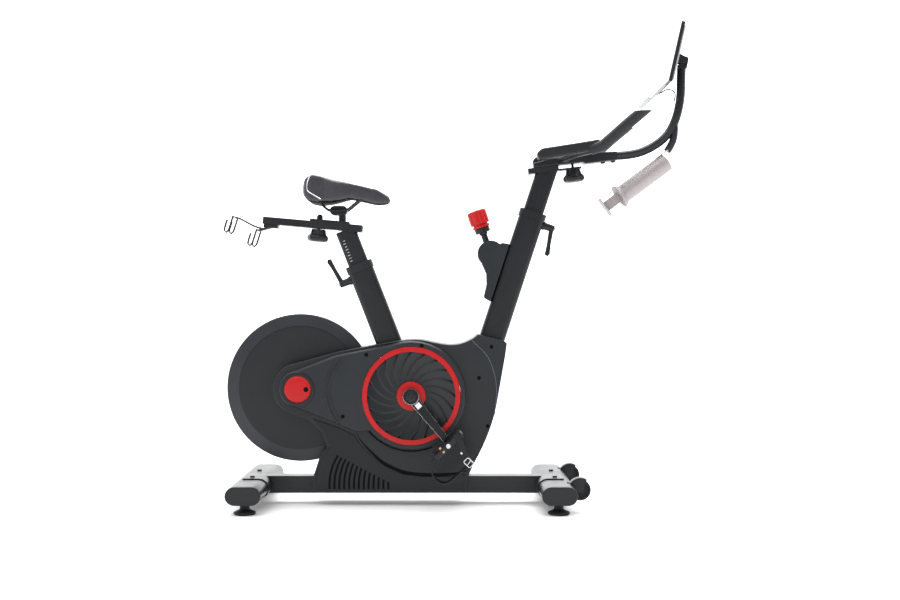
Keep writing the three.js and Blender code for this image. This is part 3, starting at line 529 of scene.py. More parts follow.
for side in ("right", "left"):
    panel = rounded(plate(leg_outline, -LEG_FACE - 0.0028, -LEG_FACE + 0.0005), 0.0012)
    made(f"leg_panel_{side}", flipped(panel, side), shaded_leg_plastic, "frame", "shell_plastic")
    # A near-black crescent under the raised cover's lower edge, as a painted shadow.
    shade = band(CRANK, 0.159, 0.1635, 208, 292, -LEG_FACE - 0.0012, -LEG_FACE + 0.0005)
    made(f"cover_shadow_{side}", flipped(shade, side), painted_shade_black, "frame", "shell_plastic")
    # A near-black strip laid on the shell along the groove above the leg panel, as painted shade.
    lower = [(x, z - width) for (x, z), (width,) in zip(groove_top, groove_widths)]
    edges = [[(p.x, p.z) for p in smooth_route([(x, 0, z) for x, z in line], 5)]
             for line in (groove_top, lower)]
    groove = plate([*edges[0], *reversed(edges[1])], -LEG_FACE - 0.0004, -LEG_FACE + 0.0005)
    made(f"panel_groove_shade_{side}", flipped(groove, side), painted_shade_black, "frame", "shell_plastic")
    # The vent slots are near-black bars just proud of the panel: painted shade for the openings.
    vents = bmesh.new()
    for i in range(VENT_COUNT):
        start = -0.370 + VENT_STEP * i
        rise = 0.090 - 0.0068 * i
        drop = 0.012
        bend = Vector((start + VENT_BEND, 0, 0.062))
        slot = band(bend, VENT_BEND - VENT_HALF, VENT_BEND + VENT_HALF,
                    180 - math.degrees(rise / VENT_BEND), 180 + math.degrees(drop / VENT_BEND),
                    -LEG_FACE - 0.0034, -LEG_FACE - 0.001, 8)
        vents = added(vents, slot)
    made(f"vent_slot_shade_{side}", flipped(vents, side), painted_shade_black, "frame", "shell_plastic")
    ribs = bmesh.new()
    for radius in RIB_RADII:
        rib = band(rib_centre, radius - RIB_HALF, radius + RIB_HALF, 136, 222,
                   -SHELL_FACE - 0.0025, -SHELL_FACE + 0.001)
        ribs = added(ribs, rounded(rib, 0.0016, 3))
    made(f"shell_ribs_{side}", flipped(ribs, side), textured_plastic, "frame", "shell_plastic")
    seam = swept(smooth_route(seam_points, 5), 0.0012, 8)
    made(f"shell_seam_{side}", flipped(seam, side), seam_highlight, "frame", "dark_plastic")
    # Screw heads in their wells, near-black with little sheen: the screws' own black deepened as
    # painted shade.
    screws = bmesh.new()
    for places, depth in ((low_screws, LEG_FACE), (high_screws, SHELL_FACE)):
        for x, z in places:
            screws = added(screws, spun([(0, 0.0004), *screw_profile], axle_at(x, -depth, z), 20))
    made(f"shell_screws_{side}", flipped(screws, side), painted_shade_black, "frame", "dark_plastic")

# ---------- red hub caps ----------
# Snap-on caps of satin red plastic over the flywheel axle's nuts, each in a dark collar
# on the shell, with one screw hole off its middle.
satin_red = surface("satin_red", (0.36, 0.006, 0.007), (0.42, 0.008, 0.009), 0.36, grain=900,
                    depth=0.00003, wear=0.1, specular=0.22)
cap_profile = metres([
    (0, 8), (30, 7.8), (33.5, 7), (36.5, 5), (38.2, 3), (38.5, 1), (38.5, 0.4), (0, 0.4),
])
recess_profile = metres([(39.2, 0.1), (39.2, 2.4), (45, 2.8), (49, 2), (50, 0.2)])
CAP_SCREW_AHEAD = 0.025
hole_profile = metres([(0, 8.05), (5.6, 8.05), (6.6, 8.7), (7.2, 8.3), (7.2, 7.8)])
for side in ("right", "left"):
    at_hub = axle_at(HUB.x, -SHELL_FACE, HUB.z)
    at_screw = axle_at(HUB.x + CAP_SCREW_AHEAD, -SHELL_FACE, HUB.z)
    made(f"hub_cap_{side}_finish", flipped(spun(cap_profile, at_hub, 64), side), satin_red,
         "frame", "red_plastic", f"hub_cap_{side}")
    made(f"hub_collar_{side}", flipped(spun(recess_profile, at_hub, 64), side), smooth_plastic,
         "frame", "dark_plastic")
    # The screw hole is a near-black disc on the cap, as painted shade.
    made(f"hub_screw_hole_shade_{side}", flipped(spun(hole_profile, at_screw, 24), side), painted_shade_black,
         "frame", "dark_plastic")

# ---------- crank rings and vaned dishes ----------
# A satin red ring frames a dark moulded dish whose blades sweep round like a turbine's,
# and a smaller red ring frames the crank.
VANES = 20
DISH_INNER = 0.044
DISH_OUTER = 0.126
ring_profile = metres([
    (127.4, 0.5), (127.4, 2.4), (128.6, 3.4), (140, 3.4), (141.7, 2.4), (142, 0.5), (127.4, 0.5),
])
collar_profile = metres([
    (20, 0), (20, 5), (22, 6.4), (38, 6.4), (41, 5), (42, 2), (42, -5), (20, -5), (20, 0),
])
dish_face = [(41 + 87.4 * i / 30, -3 - 4.5 * i / 30) for i in range(31)]
dish_profile = metres([*dish_face, (128.4, -9.3), (41, -9.3), dish_face[0]])


def vane_height(radius, angle):
    """How far a blade's face stands out: a long slope up, then a sharp step down at a groove."""
    along = min(1, max(0, (radius - DISH_INNER) / (DISH_OUTER - DISH_INNER)))
    curl = math.radians(35) * along
    phase = ((angle + curl) * VANES / math.tau) % 1
    blade = 0.25 + 0.75 * phase / 0.88 if phase < 0.88 else (1 - phase) / 0.12
    return 0.0085 * blade * along ** 1.3


blade_plastic = surface("blade_plastic", (0.008, 0.010, 0.012), (0.014, 0.016, 0.019), 0.36,
                        grain=1500, depth=0.00003, wear=0.6)
for side in ("right", "left"):
    ring = spun(ring_profile, axle_at(CRANK.x, -SHELL_FACE, CRANK.z), 120)
    made(f"crank_ring_{side}_finish", flipped(ring, side), satin_red, "frame", "red_plastic",
         f"crank_ring_{side}")
    dish = spun(dish_profile, steps=VANES * 25)
    for vert in dish.verts:
        if vert.co.z > -0.009:
            radius = math.hypot(vert.co.x, vert.co.y)
            vert.co.z += vane_height(radius, math.atan2(vert.co.y, vert.co.x))
    bmesh.ops.transform(dish, matrix=axle_at(CRANK.x, -SHELL_FACE, CRANK.z), verts=dish.verts)
    made(f"crank_dish_{side}_finish", flipped(dish, side), blade_plastic, "frame",
         "dark_plastic", f"crank_dish_{side}", corner=60, weighted=False)
    collar = spun(collar_profile, axle_at(CRANK.x, -SHELL_FACE, CRANK.z), 64)
    made(f"crank_collar_{side}", flipped(collar, side), satin_red, "frame", "red_plastic")

# ---------- flywheel ----------
# A heavy cast iron disc turned on a lathe and coated black, with a bevelled rim.
# Its faces keep the fine rings of the turning tool.
turned_iron = surface("turned_iron", (0.008, 0.009, 0.011), (0.013, 0.015, 0.018), 0.34,
                      grain=700, depth=0.00002, wear=0.2)
wheel_nodes, wheel_links = turned_iron.node_tree.nodes, turned_iron.node_tree.links
place = wheel_nodes.new("ShaderNodeTexCoord")
centred = wheel_nodes.new("ShaderNodeMapping")
centred.inputs["Location"].default_value = (-HUB.x, 0, -HUB.z)
centred.inputs["Scale"].default_value = (1, 0, 1)
distance = wheel_nodes.new("ShaderNodeVectorMath")
distance.operation = "LENGTH"
rings = wheel_nodes.new("ShaderNodeTexNoise")
rings.noise_dimensions = "1D"
rings.inputs["Scale"].default_value = 900
rings.inputs["Detail"].default_value = 4
wheel_links.new(place.outputs["Object"], centred.inputs["Vector"])
wheel_links.new(centred.outputs["Vector"], distance.inputs[0])
wheel_links.new(distance.outputs["Value"], rings.inputs["W"])
wheel_links.new(rings.outputs["Fac"], wheel_nodes["bump"].inputs["Height"])
flywheel_profile = metres([
    (10.4, -14), (25, -14), (26, -13), (26, -8), (178, -8), (180, -7.9), (182, -7.5),
    (214.5, -4.4), (216.4, -3.4), (217, -2), (217, 2), (216.4, 3.4), (214.5, 4.4), (182, 7.5),
    (180, 7.9), (178, 8), (26, 8), (26, 13), (25, 14), (10.4, 14), (10.4, -14),
])
# A lighter copy of the iron's black for the bevelled rim, as a painted highlight; faces beyond
# RIM_START take it.
rim_highlight_iron = surface("rim_highlight_iron", (0.020, 0.022, 0.026), (0.030, 0.033, 0.038), 0.3,
                      grain=700, depth=0.00002, wear=0.2)
RIM_START = 0.181
disc = spun(flywheel_profile, axle_at(*HUB), 160)
for face in disc.faces:
    middle = face.calc_center_median()
    if math.hypot(middle.x - HUB.x, middle.z - HUB.z) > RIM_START:
        face.material_index = 1
made("flywheel_finish", disc, [turned_iron, rim_highlight_iron], "flywheel", "flywheel_iron", "flywheel",
     corner=12)

# ---------- drive parts inside the shells ----------
# Ground steel axle, spindle and magnet yoke, held by the drive frame, and a rubber belt.
# The axle and the spindle carry the two pulleys that the belt runs round.
ground_steel = surface("ground_steel", (0.42, 0.43, 0.45), (0.56, 0.57, 0.6), 0.28, grain=1800,
                       depth=0.00003, wear=0.1, metallic=1.0)
for node in ("flywheel_axle", "crank_spindle", "magnet_yoke"):
    dress(node, ground_steel, "bright_steel", soften=0.0006)
dress("drive_belt", black_rubber, "rubber", soften=0.0003)

# ---------- crank arms ----------
# Forged steel arms in gloss black paint; their rounded edges are bright metal as a painted
# highlight.
# Each is bolted to the spindle under a dark cap, and carries a small pale paper label.
bright_metal_and_edge_highlight = surface("bright_metal_and_edge_highlight", (0.55, 0.56, 0.58), (0.7, 0.71, 0.73), 0.22, grain=1500,
                        depth=0.00002, wear=0.0, metallic=1.0)
bolt_profile = metres([
    (0, 0.2), (7, 0.2), (8, 1.4), (12.5, 1.4), (14, 0.6), (14.2, -0.4), (10, -4), (0, -4),
])
gloss_black = surface("gloss_black", (0.002, 0.0022, 0.0026), (0.004, 0.0044, 0.005), 0.2,
                      grain=900, depth=0.00001, wear=0.2, specular=0.2)
ARM_FACE = 0.1122
LABEL_SIDE = 0.0155
LABEL_ALONG = 0.034
label_paper = surface("label_paper", (0.62, 0.6, 0.6), (0.75, 0.74, 0.74), 0.5, wear=0, depth=0)
for side in ("right", "left"):
    node = f"crank_arm_{side}"
    outer = -1 if side == "right" else 1
    # The rounded edges take bright metal as a painted highlight.
    dress(node, [gloss_black, bright_metal_and_edge_highlight], "frame_paint", soften=0.0012, segments=2,
          edge_material=1)
    bolt = spun(bolt_profile, axle_at(CRANK.x, -0.1145, CRANK.z), 24)
    made(f"crank_bolt_{side}", flipped(bolt, side), smooth_plastic, "crank", "dark_plastic")
    arm_turn = math.radians(50.75 if side == "right" else 230.75)
    label = bmesh.new()
    bmesh.ops.create_cube(label, size=1, matrix=Matrix.Diagonal((LABEL_SIDE, 0.0006, LABEL_SIDE, 1)))
    at_arm = (Matrix.Translation((CRANK.x, outer * ARM_FACE, CRANK.z))
              @ Matrix.Rotation(arm_turn, 4, "Y") @ Matrix.Translation((LABEL_ALONG, 0, 0)))
    bmesh.ops.transform(label, matrix=at_arm, verts=label.verts)
    made(f"crank_label_{side}", label, label_paper, "crank", "pale_plastic")

# ---------- pedals, reflectors and toe cages ----------
# Moulded pedal bodies that spin on steel axles, with amber reflectors, a bent toe cage screwed on
# at the front and a woven strap that closes over the foot through a steel buckle.
PEDAL_TURN = Matrix.Rotation(math.radians(135), 4, "Y")
amber = surface("amber_reflector", (0.36, 0.19, 0.07), (0.5, 0.33, 0.17), 0.15, grain=400,
                depth=0.0003, wear=0, coat=0.5)
clear_lens = surface("clear_lens", (0.2, 0.2, 0.21), (0.3, 0.3, 0.31), 0.15, grain=400,
                     depth=0.0003, wear=0, coat=0.5)
webbing = surface("strap_webbing", (0.006, 0.006, 0.007), (0.018, 0.018, 0.02), 0.7, grain=700,
                  depth=0.0003, wear=0)


def cuboid(x0, x1, y0, y1, z0, z1, width=0.0008, segments=2):
    """A block between corners in millimetres, with rounded edges."""
    shape = bmesh.new()
    low, high = Vector((x0, y0, z0)) / 1000, Vector((x1, y1, z1)) / 1000
    matrix = Matrix.Translation((low + high) / 2) @ Matrix.Diagonal((*(high - low), 1))
    bmesh.ops.create_cube(shape, size=1, matrix=matrix)
    return rounded(shape, width, segments)


def ribbon(points, thickness, width, y, closed=False):
    """A strip of even thickness that follows (x, z) points and is centred on y."""
    route = smooth_route([(x, 0, z) for x, z in points], 5)
    edges = []
    for side_of in (1, -1):
        line = []
        for i, point in enumerate(route):
            ahead = route[min(i + 1, len(route) - 1)] - route[max(i - 1, 0)]
            across = Vector((-ahead.z, 0, ahead.x)).normalized() * thickness / 2 * side_of
            line.append((point.x + across.x, point.z + across.z))
        edges.append(line)
    return plate([*edges[0], *reversed(edges[1])], y - width / 2, y + width / 2)


cage_line = metres([
    (49, -2.4), (66, 1.6), (81, 12.3), (90.8, 27.5), (94, 46), (89.8, 62), (76, 73.5), (46, 78),
    (-8, 81.5),
])
strap_line = metres([
    (-206.8, -9), (-206.9, 30), (-206.4, 56), (-197, 77), (-180, 86.5), (-163, 88), (-147, 86.5),
    (-130, 77), (-120.4, 56), (-119.9, 30), (-120.1, -9),
])
STRAP_PLACE = Matrix.Translation((-0.036, 0, 0)) @ Matrix.Rotation(math.radians(21), 4, "Y")
buckle_corners = metres([(-17, 60.3), (-17, 84.3), (1, 84.3), (1, 60.3)])
BUCKLE_FACE = -0.2095
CORNER_CUT = 0.12
axle_cap = metres([(0, 2.2), (5.4, 2.2), (6.6, 1), (6.8, -1.5), (0, -1.5)])
for side in ("right", "left"):
    body = f"pedal_{side}"
    low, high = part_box(f"crank_arm_{side}")
    low_p, high_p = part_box(body)
    middle = (low_p + high_p) / 2
    at_pedal = Matrix.Translation((middle.x, 0, middle.z)) @ PEDAL_TURN

    def set_on_pedal(name, shape, material, slot, *nodes):
        """A piece modelled round the axle in the pedal's own frame, put in its place."""
        flipped(shape, side)
        bmesh.ops.transform(shape, matrix=at_pedal, verts=shape.verts)
        return made(name, shape, material, body, slot, *nodes)

    frame_shape = cuboid(-9, 9, -205, -124, -9, 9, 0.003, 3)
    for x0, x1 in ((-49, -42), (42, 49)):
        frame_shape = added(frame_shape, cuboid(x0, x1, -204, -123, -11, 11, 0.002))
        for tooth in range(9):
            y = -199 + 9 * tooth
            for z0, z1 in ((10, 13.5), (-13.5, -10)):
                frame_shape = added(frame_shape, cuboid(x0 + 1, x1 - 1, y, y + 4, z0, z1, 0.0008))
    for y0, y1 in ((-205, -199), (-128, -122)):
        frame_shape = added(frame_shape, cuboid(-46, 46, y0, y1, -8, 8, 0.002))
    set_on_pedal(f"pedal_{side}_finish", frame_shape, smooth_plastic, "dark_plastic",
                 f"pedal_{side}")
    reflectors = cuboid(17, 24, -206.6, -204.8, -15, -9, 0.0008)
    reflectors = added(reflectors, cuboid(17, 24, -206.6, -204.8, -1, 5, 0.0008))
    set_on_pedal(f"pedal_reflectors_{side}", reflectors, amber, "pale_plastic")
    back_lens = cuboid(-51.4, -49.2, -184, -143, -6, 6, 0.0008)
    set_on_pedal(f"pedal_back_lens_{side}", back_lens, clear_lens, "pale_plastic")
    cap = spun(axle_cap, axle_at(0, -0.2055, 0), 20)
    set_on_pedal(f"pedal_axle_cap_{side}", cap, ground_steel, "bright_steel")
    cage = rounded(ribbon(cage_line, 0.0028, 0.047, -0.1635), 0.0009)
    set_on_pedal(f"toe_cage_{side}_finish", cage, smooth_plastic, "dark_plastic",
                 f"toe_cage_{side}")
    strap = rounded(ribbon(strap_line, 0.0022, 0.016, 0), 0.0005)
    bmesh.ops.transform(strap, matrix=STRAP_PLACE @ Matrix.Rotation(math.radians(90), 4, "Z"),
                        verts=strap.verts)
    set_on_pedal(f"pedal_strap_{side}", strap, webbing, "dark_plastic")
    loop = []
    for i, (x, z) in enumerate(buckle_corners):
        for before in (1, -1):
            other_x, other_z = buckle_corners[(i - before) % 4]
            loop.append(Vector((x + CORNER_CUT * (other_x - x), BUCKLE_FACE,
                                z + CORNER_CUT * (other_z - z))))
    buckle = swept([*loop, loop[0]], 0.0013, 10)
    pin = swept([Vector((-0.017, -0.2105, 0.071)), Vector((0.002, -0.2105, 0.075))], 0.0011, 10)
    buckle = added(buckle, pin)
    rivet_at = Matrix.Translation((-0.0126, -0.2078, 0.0393)) @ ABOUT_Y
    rivet = spun(metres([(0, 1.3), (2, 1.1), (3.3, 0.2), (3.4, -0.6), (0, -0.6)]), rivet_at, 16)
    buckle = added(buckle, rivet)
    set_on_pedal(f"strap_buckle_{side}", buckle, bright_metal_and_edge_highlight, "bright_steel")

# ---------- seat post, rail and carriage ----------
# A rounded steel post carries a slotted slide rail, and has white height marks printed on it.
# The moulded carriage that slides on the rail clamps the saddle.
SEAT_LEAN = math.radians(-21.3)
RAIL_PITCH = math.radians(5.06)
dress("seat_post", powder_coat, "frame_paint", soften=0.0012, corner=50)
dress("saddle_carriage", smooth_plastic, "dark_plastic", soften=0.0012)
at_seat_tube = Matrix.Translation((-0.2485, 0, 0.598)) @ Matrix.Rotation(SEAT_LEAN, 4, "Y")
white_print = surface("white_print", (0.6, 0.6, 0.6), (0.72, 0.72, 0.72), 0.5, wear=0, depth=0)
MARK_COUNT = 8
MARK_STEP = 9
marks = bmesh.new()
for i in range(MARK_COUNT):
    rear_end = -20 if i % 2 == 0 else -18
    height = 128 + MARK_STEP * i
    mark = cuboid(rear_end, -12, -19.05, -18.9, height, height + 1.2, 0.00002, 1)
    marks = added(marks, mark)
bmesh.ops.transform(marks, matrix=at_seat_tube, verts=marks.verts)
made("seat_height_marks", marks, white_print, "seat_post", "pale_plastic")

# ---------- saddle ----------
# Foam on a nylon base under a stretched black vinyl cover, with a bright welt round its tail and
# a shallow channel down the middle. Its wire rails sit in the carriage's clamp.
vinyl = surface("black_vinyl", (0.009, 0.0095, 0.011), (0.016, 0.017, 0.020), 0.4, grain=1100,
                depth=0.00022, wear=0.15, mottle=20)
# A lighter copy of the pads' black vinyl, as painted light on the saddle's top and sides.
lit_saddle_vinyl = surface("lit_saddle_vinyl", (0.014, 0.014, 0.019), (0.030, 0.030, 0.037), 0.34,
                       grain=1100, depth=0.00015, wear=0.15, mottle=20, specular=0.5)
WELT = metres([
    (-424, -200, 957), (-429, -200, 949), (-433, -200, 937), (-434, -200, 922), (-429, -200, 911),
    (-407, -200, 897), (-394, -200, 889),
])
RAILS = metres([
    (-414, -22, 897), (-399, -22, 882), (-387, -22, 869), (-372, -22, 862), (-330, -22, 861),
    (-318, -22, 866), (-288, -22, 890), (-277, -22, 894),
])


def foam_shape(node, voxel, rounds):
    """A soft piece's CAD solid, remeshed and relaxed into a rounded form."""
    shape = bmesh.new()
    shape.from_mesh(frame["nodes"][node].data)
    bmesh.ops.remove_doubles(shape, verts=shape.verts, dist=0.00002)
    mesh = bpy.data.meshes.new(node + "_foam")
    shape.to_mesh(mesh)
    shape.free()
    piece = bpy.data.objects.new(node + "_foam", mesh)
    bpy.context.scene.collection.objects.link(piece)
    remesh = piece.modifiers.new("even_skin", "REMESH")
    remesh.mode = "VOXEL"
    remesh.voxel_size = voxel
    relax = piece.modifiers.new("relax", "SMOOTH")
    relax.factor = 0.5
    relax.iterations = rounds
    bpy.context.view_layer.update()
    evaluated = piece.evaluated_get(bpy.context.evaluated_depsgraph_get())
    soft = bmesh.new()
    soft.from_mesh(evaluated.to_mesh())
    bpy.data.objects.remove(piece)
    return soft


def on_both_sides(route, radius, sides):
    """A round bar along a route and its mirror image."""
    return added(swept(route, radius, sides), flipped(swept(route, radius, sides), "left"))


SHADED_UNDERSIDE_SLOPE = -0.62
saddle_shape = foam_shape("saddle", 0.004, 22)
for vert in saddle_shape.verts:
    x, y, z = vert.co
    if z > 0.9:
        ahead = min(1, max(0, (x + 0.43) / 0.05)) * min(1, max(0, (-0.225 - x) / 0.05))
        vert.co.z -= 0.006 * ahead * math.exp(-((y / 0.011) ** 2))
        vert.co.z += 0.004 * math.exp(-(((abs(y) - 0.03) / 0.02) ** 2)) * ahead
saddle_shape.normal_update()
# Faces turned steeply down, where the nylon base lies, take near-black as painted shade.
for face in saddle_shape.faces:
    if face.normal.z < SHADED_UNDERSIDE_SLOPE:
        face.material_index = 1
cover = BVHTree.FromBMesh(saddle_shape)
saddle_piece = made("saddle_finish", saddle_shape, [lit_saddle_vinyl, painted_shade_black], "saddle_carriage",
                    "soft_vinyl", "saddle", weighted=False, corner=80)
saddle_piece.modifiers.new("fine_skin", "SUBSURF").levels = 1
saddle_piece.modifiers["fine_skin"].render_levels = 1
welt_hits = [cover.ray_cast(point, Vector((0, 1, 0)))[0] for point in smooth_route(WELT, 4)]
welt_line = [hit for hit in welt_hits if hit]
made("saddle_welt", on_both_sides(welt_line, 0.0017, 10), bright_metal_and_edge_highlight, "saddle_carriage",
     "bright_steel")
made("saddle_rails_finish", on_both_sides(smooth_route(RAILS, 5), 0.0035, 14), powder_coat,
     "saddle_carriage", "bright_steel", "saddle_rails")

# ---------- clamp knobs ----------
# Seven-lobed hand knobs of dark plastic moulded on threaded studs.
# One clamps the saddle carriage from under the rail, the other the handlebar's stem.
knob_outline = [(0, -49.6), (20, -49.6), (26, -48.6), (30.4, -45.5), (32.4, -40), (32, -35),
                (29.4, -30.5), (25.5, -28), (23.5, -24), (21.5, -16.5), (20.5, -13), (0, -13)]


KNOB_LOBES = 7
LOBE_DEPTH = 0.09


def lobed_knob(matrix):
    """A clamp knob with its stud, hanging down from the given place."""
    shape = spun(metres(knob_outline), steps=72)
    for vert in shape.verts:
        radius = math.hypot(vert.co.x, vert.co.y)
        if radius > 0.024 and vert.co.z < -0.026:
            angle = math.atan2(vert.co.y, vert.co.x)
            pinch = 1 - LOBE_DEPTH * (0.5 + 0.5 * math.cos(KNOB_LOBES * angle))
            vert.co.x *= pinch
            vert.co.y *= pinch
    stud = spun(metres([(0, -14), (4, -14), (4, 9.5), (0, 9.5)]), steps=24)
    shape = added(shape, stud)
    bmesh.ops.transform(shape, matrix=matrix, verts=shape.verts)
    return shape


at_rail = Matrix.Translation((-0.4245, 0, 0.820)) @ Matrix.Rotation(RAIL_PITCH, 4, "Y")
made("seat_knob_finish", lobed_knob(at_rail @ Matrix.Translation((0.018, 0, 0.0005))),
     smooth_plastic, "seat_knob", "dark_plastic", "seat_knob")
HEAD_PITCH = math.radians(-6.5)
at_head = Matrix.Translation((0.254, 0, 0.981)) @ Matrix.Rotation(HEAD_PITCH, 4, "Y")
made("handlebar_knob_finish", lobed_knob(at_head @ Matrix.Translation((0.088, 0, 0.004))),
     smooth_plastic, "handlebar_knob", "dark_plastic", "handlebar_knob")

# ---------- ratchet levers ----------
# Cast handles in dark paint with a spring-loaded hub and a bright steel screw.
# One on each tube's boss clamps the post that slides inside it.
HUB_FACE = 0.0733
lever_screw = metres([(0, 4.4), (2, 4.4), (2.2, 5.6), (4.6, 5.4), (5.4, 4.4), (5.6, 0), (0, 0)])
for node, tube_at, out, height in (
    ("seat_lever", at_seat_tube, -1, 0.077),
    ("head_lever", Matrix.Translation((0.1083, 0, 0.5011))
     @ Matrix.Rotation(math.radians(18.15), 4, "Y"), 1, 0.346),
):
    dress(node, smooth_plastic, "dark_plastic", soften=0.0016, segments=3, corner=40)
    at_hub_face = (Matrix.Translation((out * HUB_FACE, 0, height))
                   @ Matrix.Rotation(out * math.radians(90), 4, "Y"))
    screw = spun(lever_screw, at_hub_face, 24)
    bmesh.ops.transform(screw, matrix=tube_at, verts=screw.verts)
    made(node + "_screw", screw, ground_steel, node, "bright_steel")

# ---------- dumbbell rack ----------
# Bent wire hooks for a pair of hand weights, welded to a bracket under the rail's tail.
# A thick black coating makes the wires a little fatter than the bare steel.
COATING = 0.0006
rack = dressed("weight_rack", soften=0.0004, corner=70)
rack.normal_update()
for vert in rack.verts:
    vert.co += vert.normal * COATING
made("weight_rack_finish", rack, powder_coat, "seat_post", "frame_paint", "weight_rack")

# ---------- handlebar ----------
# A welded stem and bent bars in black; foam grips cover the ends, and two
# vinyl-covered foam pads lie over the bars for the forearms.
dress("handlebar_post", powder_coat, "frame_paint", soften=0.001, corner=50)
stem_outline = metres([
    (-28, 8.3), (116, 8.3), (124, 3.2), (220, 3.6), (220, 28.4), (172, 32), (60, 34), (-28, 22),
])
stem = rounded(plate(stem_outline, -0.024, 0.024), 0.003, 3)
stem_bolt = metres([(0, 5), (4.5, 5), (6.5, 3.8), (7, 1.5), (7, -1), (0, -1)])
for along in (0.178, 0.208):
    under = Matrix.Translation((along, 0, 0.0035)) @ Matrix.Rotation(math.pi, 4, "X")
    stem = added(stem, spun(stem_bolt, under, 20))
bmesh.ops.transform(stem, matrix=at_head, verts=stem.verts)
bar_points = metres([
    (300, -14, 1010), (322, -52, 1014), (352, -88, 1023), (395, -112, 1032), (424, -126, 1046),
    (452, -142, 1070), (478, -157, 1093), (514, -175, 1123),
])
for side in ("right", "left"):
    stem = added(stem, flipped(swept(smooth_route(bar_points, 6), 0.0125, 24), side))
made("handlebar_stem_finish", stem, powder_coat, "handlebar", "frame_paint", "handlebar_stem")

foam_grip = surface("foam_grip", (0.009, 0.0095, 0.011), (0.016, 0.017, 0.020), 0.5, grain=1600,
                    depth=0.0002, wear=0.1)
grip_points = metres([
    (384, -109, 1030), (412, -120, 1038), (424, -126, 1046), (452, -142, 1070),
    (478, -157, 1093), (521, -178, 1129), (560, -197, 1162),
])
GRIP_TOP = 1.130
PAD_STRETCH = 0.009
for side in ("right", "left"):
    grip = swept(smooth_route(grip_points, 10), 0.0162, 40)
    whole = [*grip.verts, *grip.edges, *grip.faces]
    bmesh.ops.bisect_plane(grip, geom=whole, plane_co=(0, 0, GRIP_TOP), plane_no=(0, 0, 1),
                           clear_outer=True)
    bmesh.ops.holes_fill(grip, edges=grip.edges)
    bmesh.ops.recalc_face_normals(grip, faces=grip.faces)
    rim = [edge for edge in grip.edges if edge.calc_face_angle(0) > math.radians(40)]
    bmesh.ops.bevel(grip, geom=rim, offset=0.003, segments=3, profile=0.5, affect="EDGES",
                    material=-1, clamp_overlap=True)
    made(f"grip_{side}_finish", flipped(grip, side), foam_grip, "handlebar", "rubber",
         f"grip_{side}", corner=60)
    cushion = foam_shape(f"arm_pad_{side}", 0.003, 10)
    for vert in cushion.verts:
        vert.co.x -= PAD_STRETCH * min(1, max(0, (0.35 - vert.co.x) / 0.1))
    pad = made(f"arm_pad_{side}_finish", cushion, vinyl, "handlebar", "soft_vinyl",
               f"arm_pad_{side}", weighted=False, corner=80)
    pad.modifiers.new("fine_skin", "SUBSURF").levels = 1
    pad.modifiers["fine_skin"].render_levels = 1

# ---------- screen arm and bottle sleeve ----------
# One bent steel tube rises from the stem to the screen, with a welded branch to a brushed
# aluminium sleeve that holds a drinks bottle.
dress("screen_arm", powder_coat, "frame_paint", soften=0.0006, corner=50)
brushed = surface("brushed_sleeve", (0.29, 0.26, 0.265), (0.36, 0.33, 0.335), 0.5, grain=400,
                  depth=0.000003, wear=0.1, metallic=0.35)
at_sleeve = (Matrix.Translation((0.6175, 0, 1.005))
             @ Matrix.Rotation(math.radians(90 - 36.6), 4, "Y"))
sleeve_profile = [
    (0, -158.5), (24.5, -158.5), (24.5, 0), (25.2, 0.6), (26.4, 0.6), (27, 0), (27, -158),
    (30.5, -162), (36, -170), (36, -174), (33, -174), (26, -166), (0, -166),
]
sleeve = spun(metres(sleeve_profile), Matrix.Diagonal((1, 37 / 27, 1, 1)), 72)
for low, high in (((-15, -10, -224), (15, 10, -164)), ((-31, -24, -227), (28, 24, -223))):
    sleeve = added(sleeve, cuboid(low[0], high[0], low[1], high[1], low[2], high[2], 0.0015))
sleeve = added(sleeve, cuboid(-28, -24.6, -16, 16, -20, 24, 0.001))
bmesh.ops.transform(sleeve, matrix=at_sleeve, verts=sleeve.verts)
made("bottle_sleeve_finish", sleeve, brushed, "handlebar", "brushed_sleeve", "bottle_sleeve")

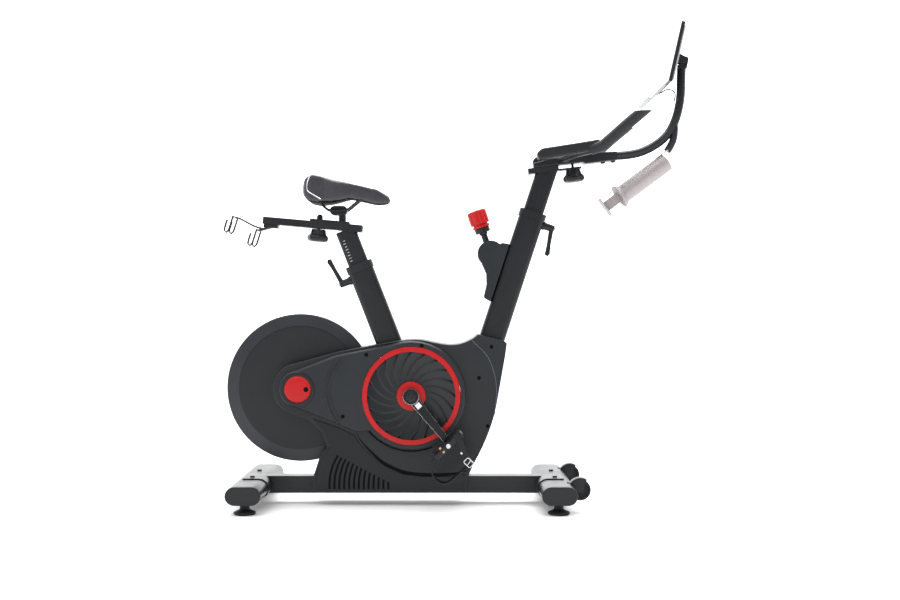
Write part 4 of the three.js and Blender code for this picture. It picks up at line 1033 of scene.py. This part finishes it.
# ---------- screen and device shelf ----------
# A slim tilting screen with a black glass front towards the rider and a pale rear case, and a
# pale moulded ledge below it.
glass_black = surface("glass_black", (0.003, 0.003, 0.004), (0.005, 0.005, 0.006), 0.06, swing=0.02,
                      grain=60, depth=0.0, wear=0.05, coat=1.0, specular=0.9)
case_black = surface("case_black", (0.010, 0.011, 0.013), (0.016, 0.017, 0.02), 0.4, wear=0.3)
pale_moulding = surface("pale_moulding", (0.40, 0.41, 0.43), (0.48, 0.49, 0.51), 0.35, wear=0.1)
at_screen = Matrix.Translation((0.6273, 0, 1.3085)) @ Matrix.Rotation(math.radians(12.7), 4, "Y")
screen = dressed("screen_panel", soften=0.0014, segments=3)
to_screen = at_screen.inverted()
screen.normal_update()
for face in screen.faces:
    middle = to_screen @ face.calc_center_median()
    facing = (to_screen.to_3x3() @ face.normal).x
    if facing < -0.9 and middle.x < -0.0045:
        face.material_index = 1
    elif 0.0057 < middle.x < 0.0108 and abs(middle.y) > 0.021:
        face.material_index = 2
made("screen_panel_finish", screen, [case_black, glass_black, pale_moulding], "screen",
     "screen_body", "screen_panel")
dress("device_shelf", pale_moulding, "pale_plastic", soften=0.0016, segments=3)

# ---------- resistance control ----------
# A moulded pod on the head tube guides the plunger: turning the fluted red knob swings the
# magnets, and pushing it down brakes the flywheel.
POD_FACE = 0.028
dress("resistance_pod", textured_plastic, "shell_plastic", soften=0.003, segments=3,
      where=lambda edge: on_face(edge, POD_FACE))
KNOB_LEAN = math.radians(-19)
at_pod = Matrix.Translation((0.099, 0, 0.7345)) @ Matrix.Rotation(KNOB_LEAN, 4, "Y")
plunger_profile = metres([
    (0, 8), (9.5, 8), (9.5, 58), (12.5, 62), (13, 64.5), (21, 65.5), (22.5, 67), (22.5, 78.5),
    (21.5, 80), (0, 80),
])
made("brake_plunger_finish", spun(plunger_profile, at_pod, 48), smooth_plastic, "brake_plunger",
     "dark_plastic", "brake_plunger")
cap_line = metres([
    (0, 80.3), (24.5, 80.3), (25.5, 81.3), (25.5, 87), (24.5, 88), (22, 88.4), (22, 91.6),
    (27.6, 92), (29, 93.4), (29, 110), (29, 126.5), (27.5, 130.5), (24, 133), (18, 134), (12, 133),
    (0, 132.4),
])
FLUTES = 8
FLUTE_DEPTH = 0.09
knob = spun(cap_line, steps=96)
for vert in knob.verts:
    radius = math.hypot(vert.co.x, vert.co.y)
    if radius > 0.0265 and vert.co.z > 0.091:
        angle = math.atan2(vert.co.y, vert.co.x)
        flute = max(0, math.cos(FLUTES * angle)) ** 2
        vert.co.x *= 1 - FLUTE_DEPTH * flute
        vert.co.y *= 1 - FLUTE_DEPTH * flute
bmesh.ops.transform(knob, matrix=at_pod, verts=knob.verts)
made("resistance_knob_finish", knob, satin_red, "resistance_knob", "red_plastic",
     "resistance_knob")
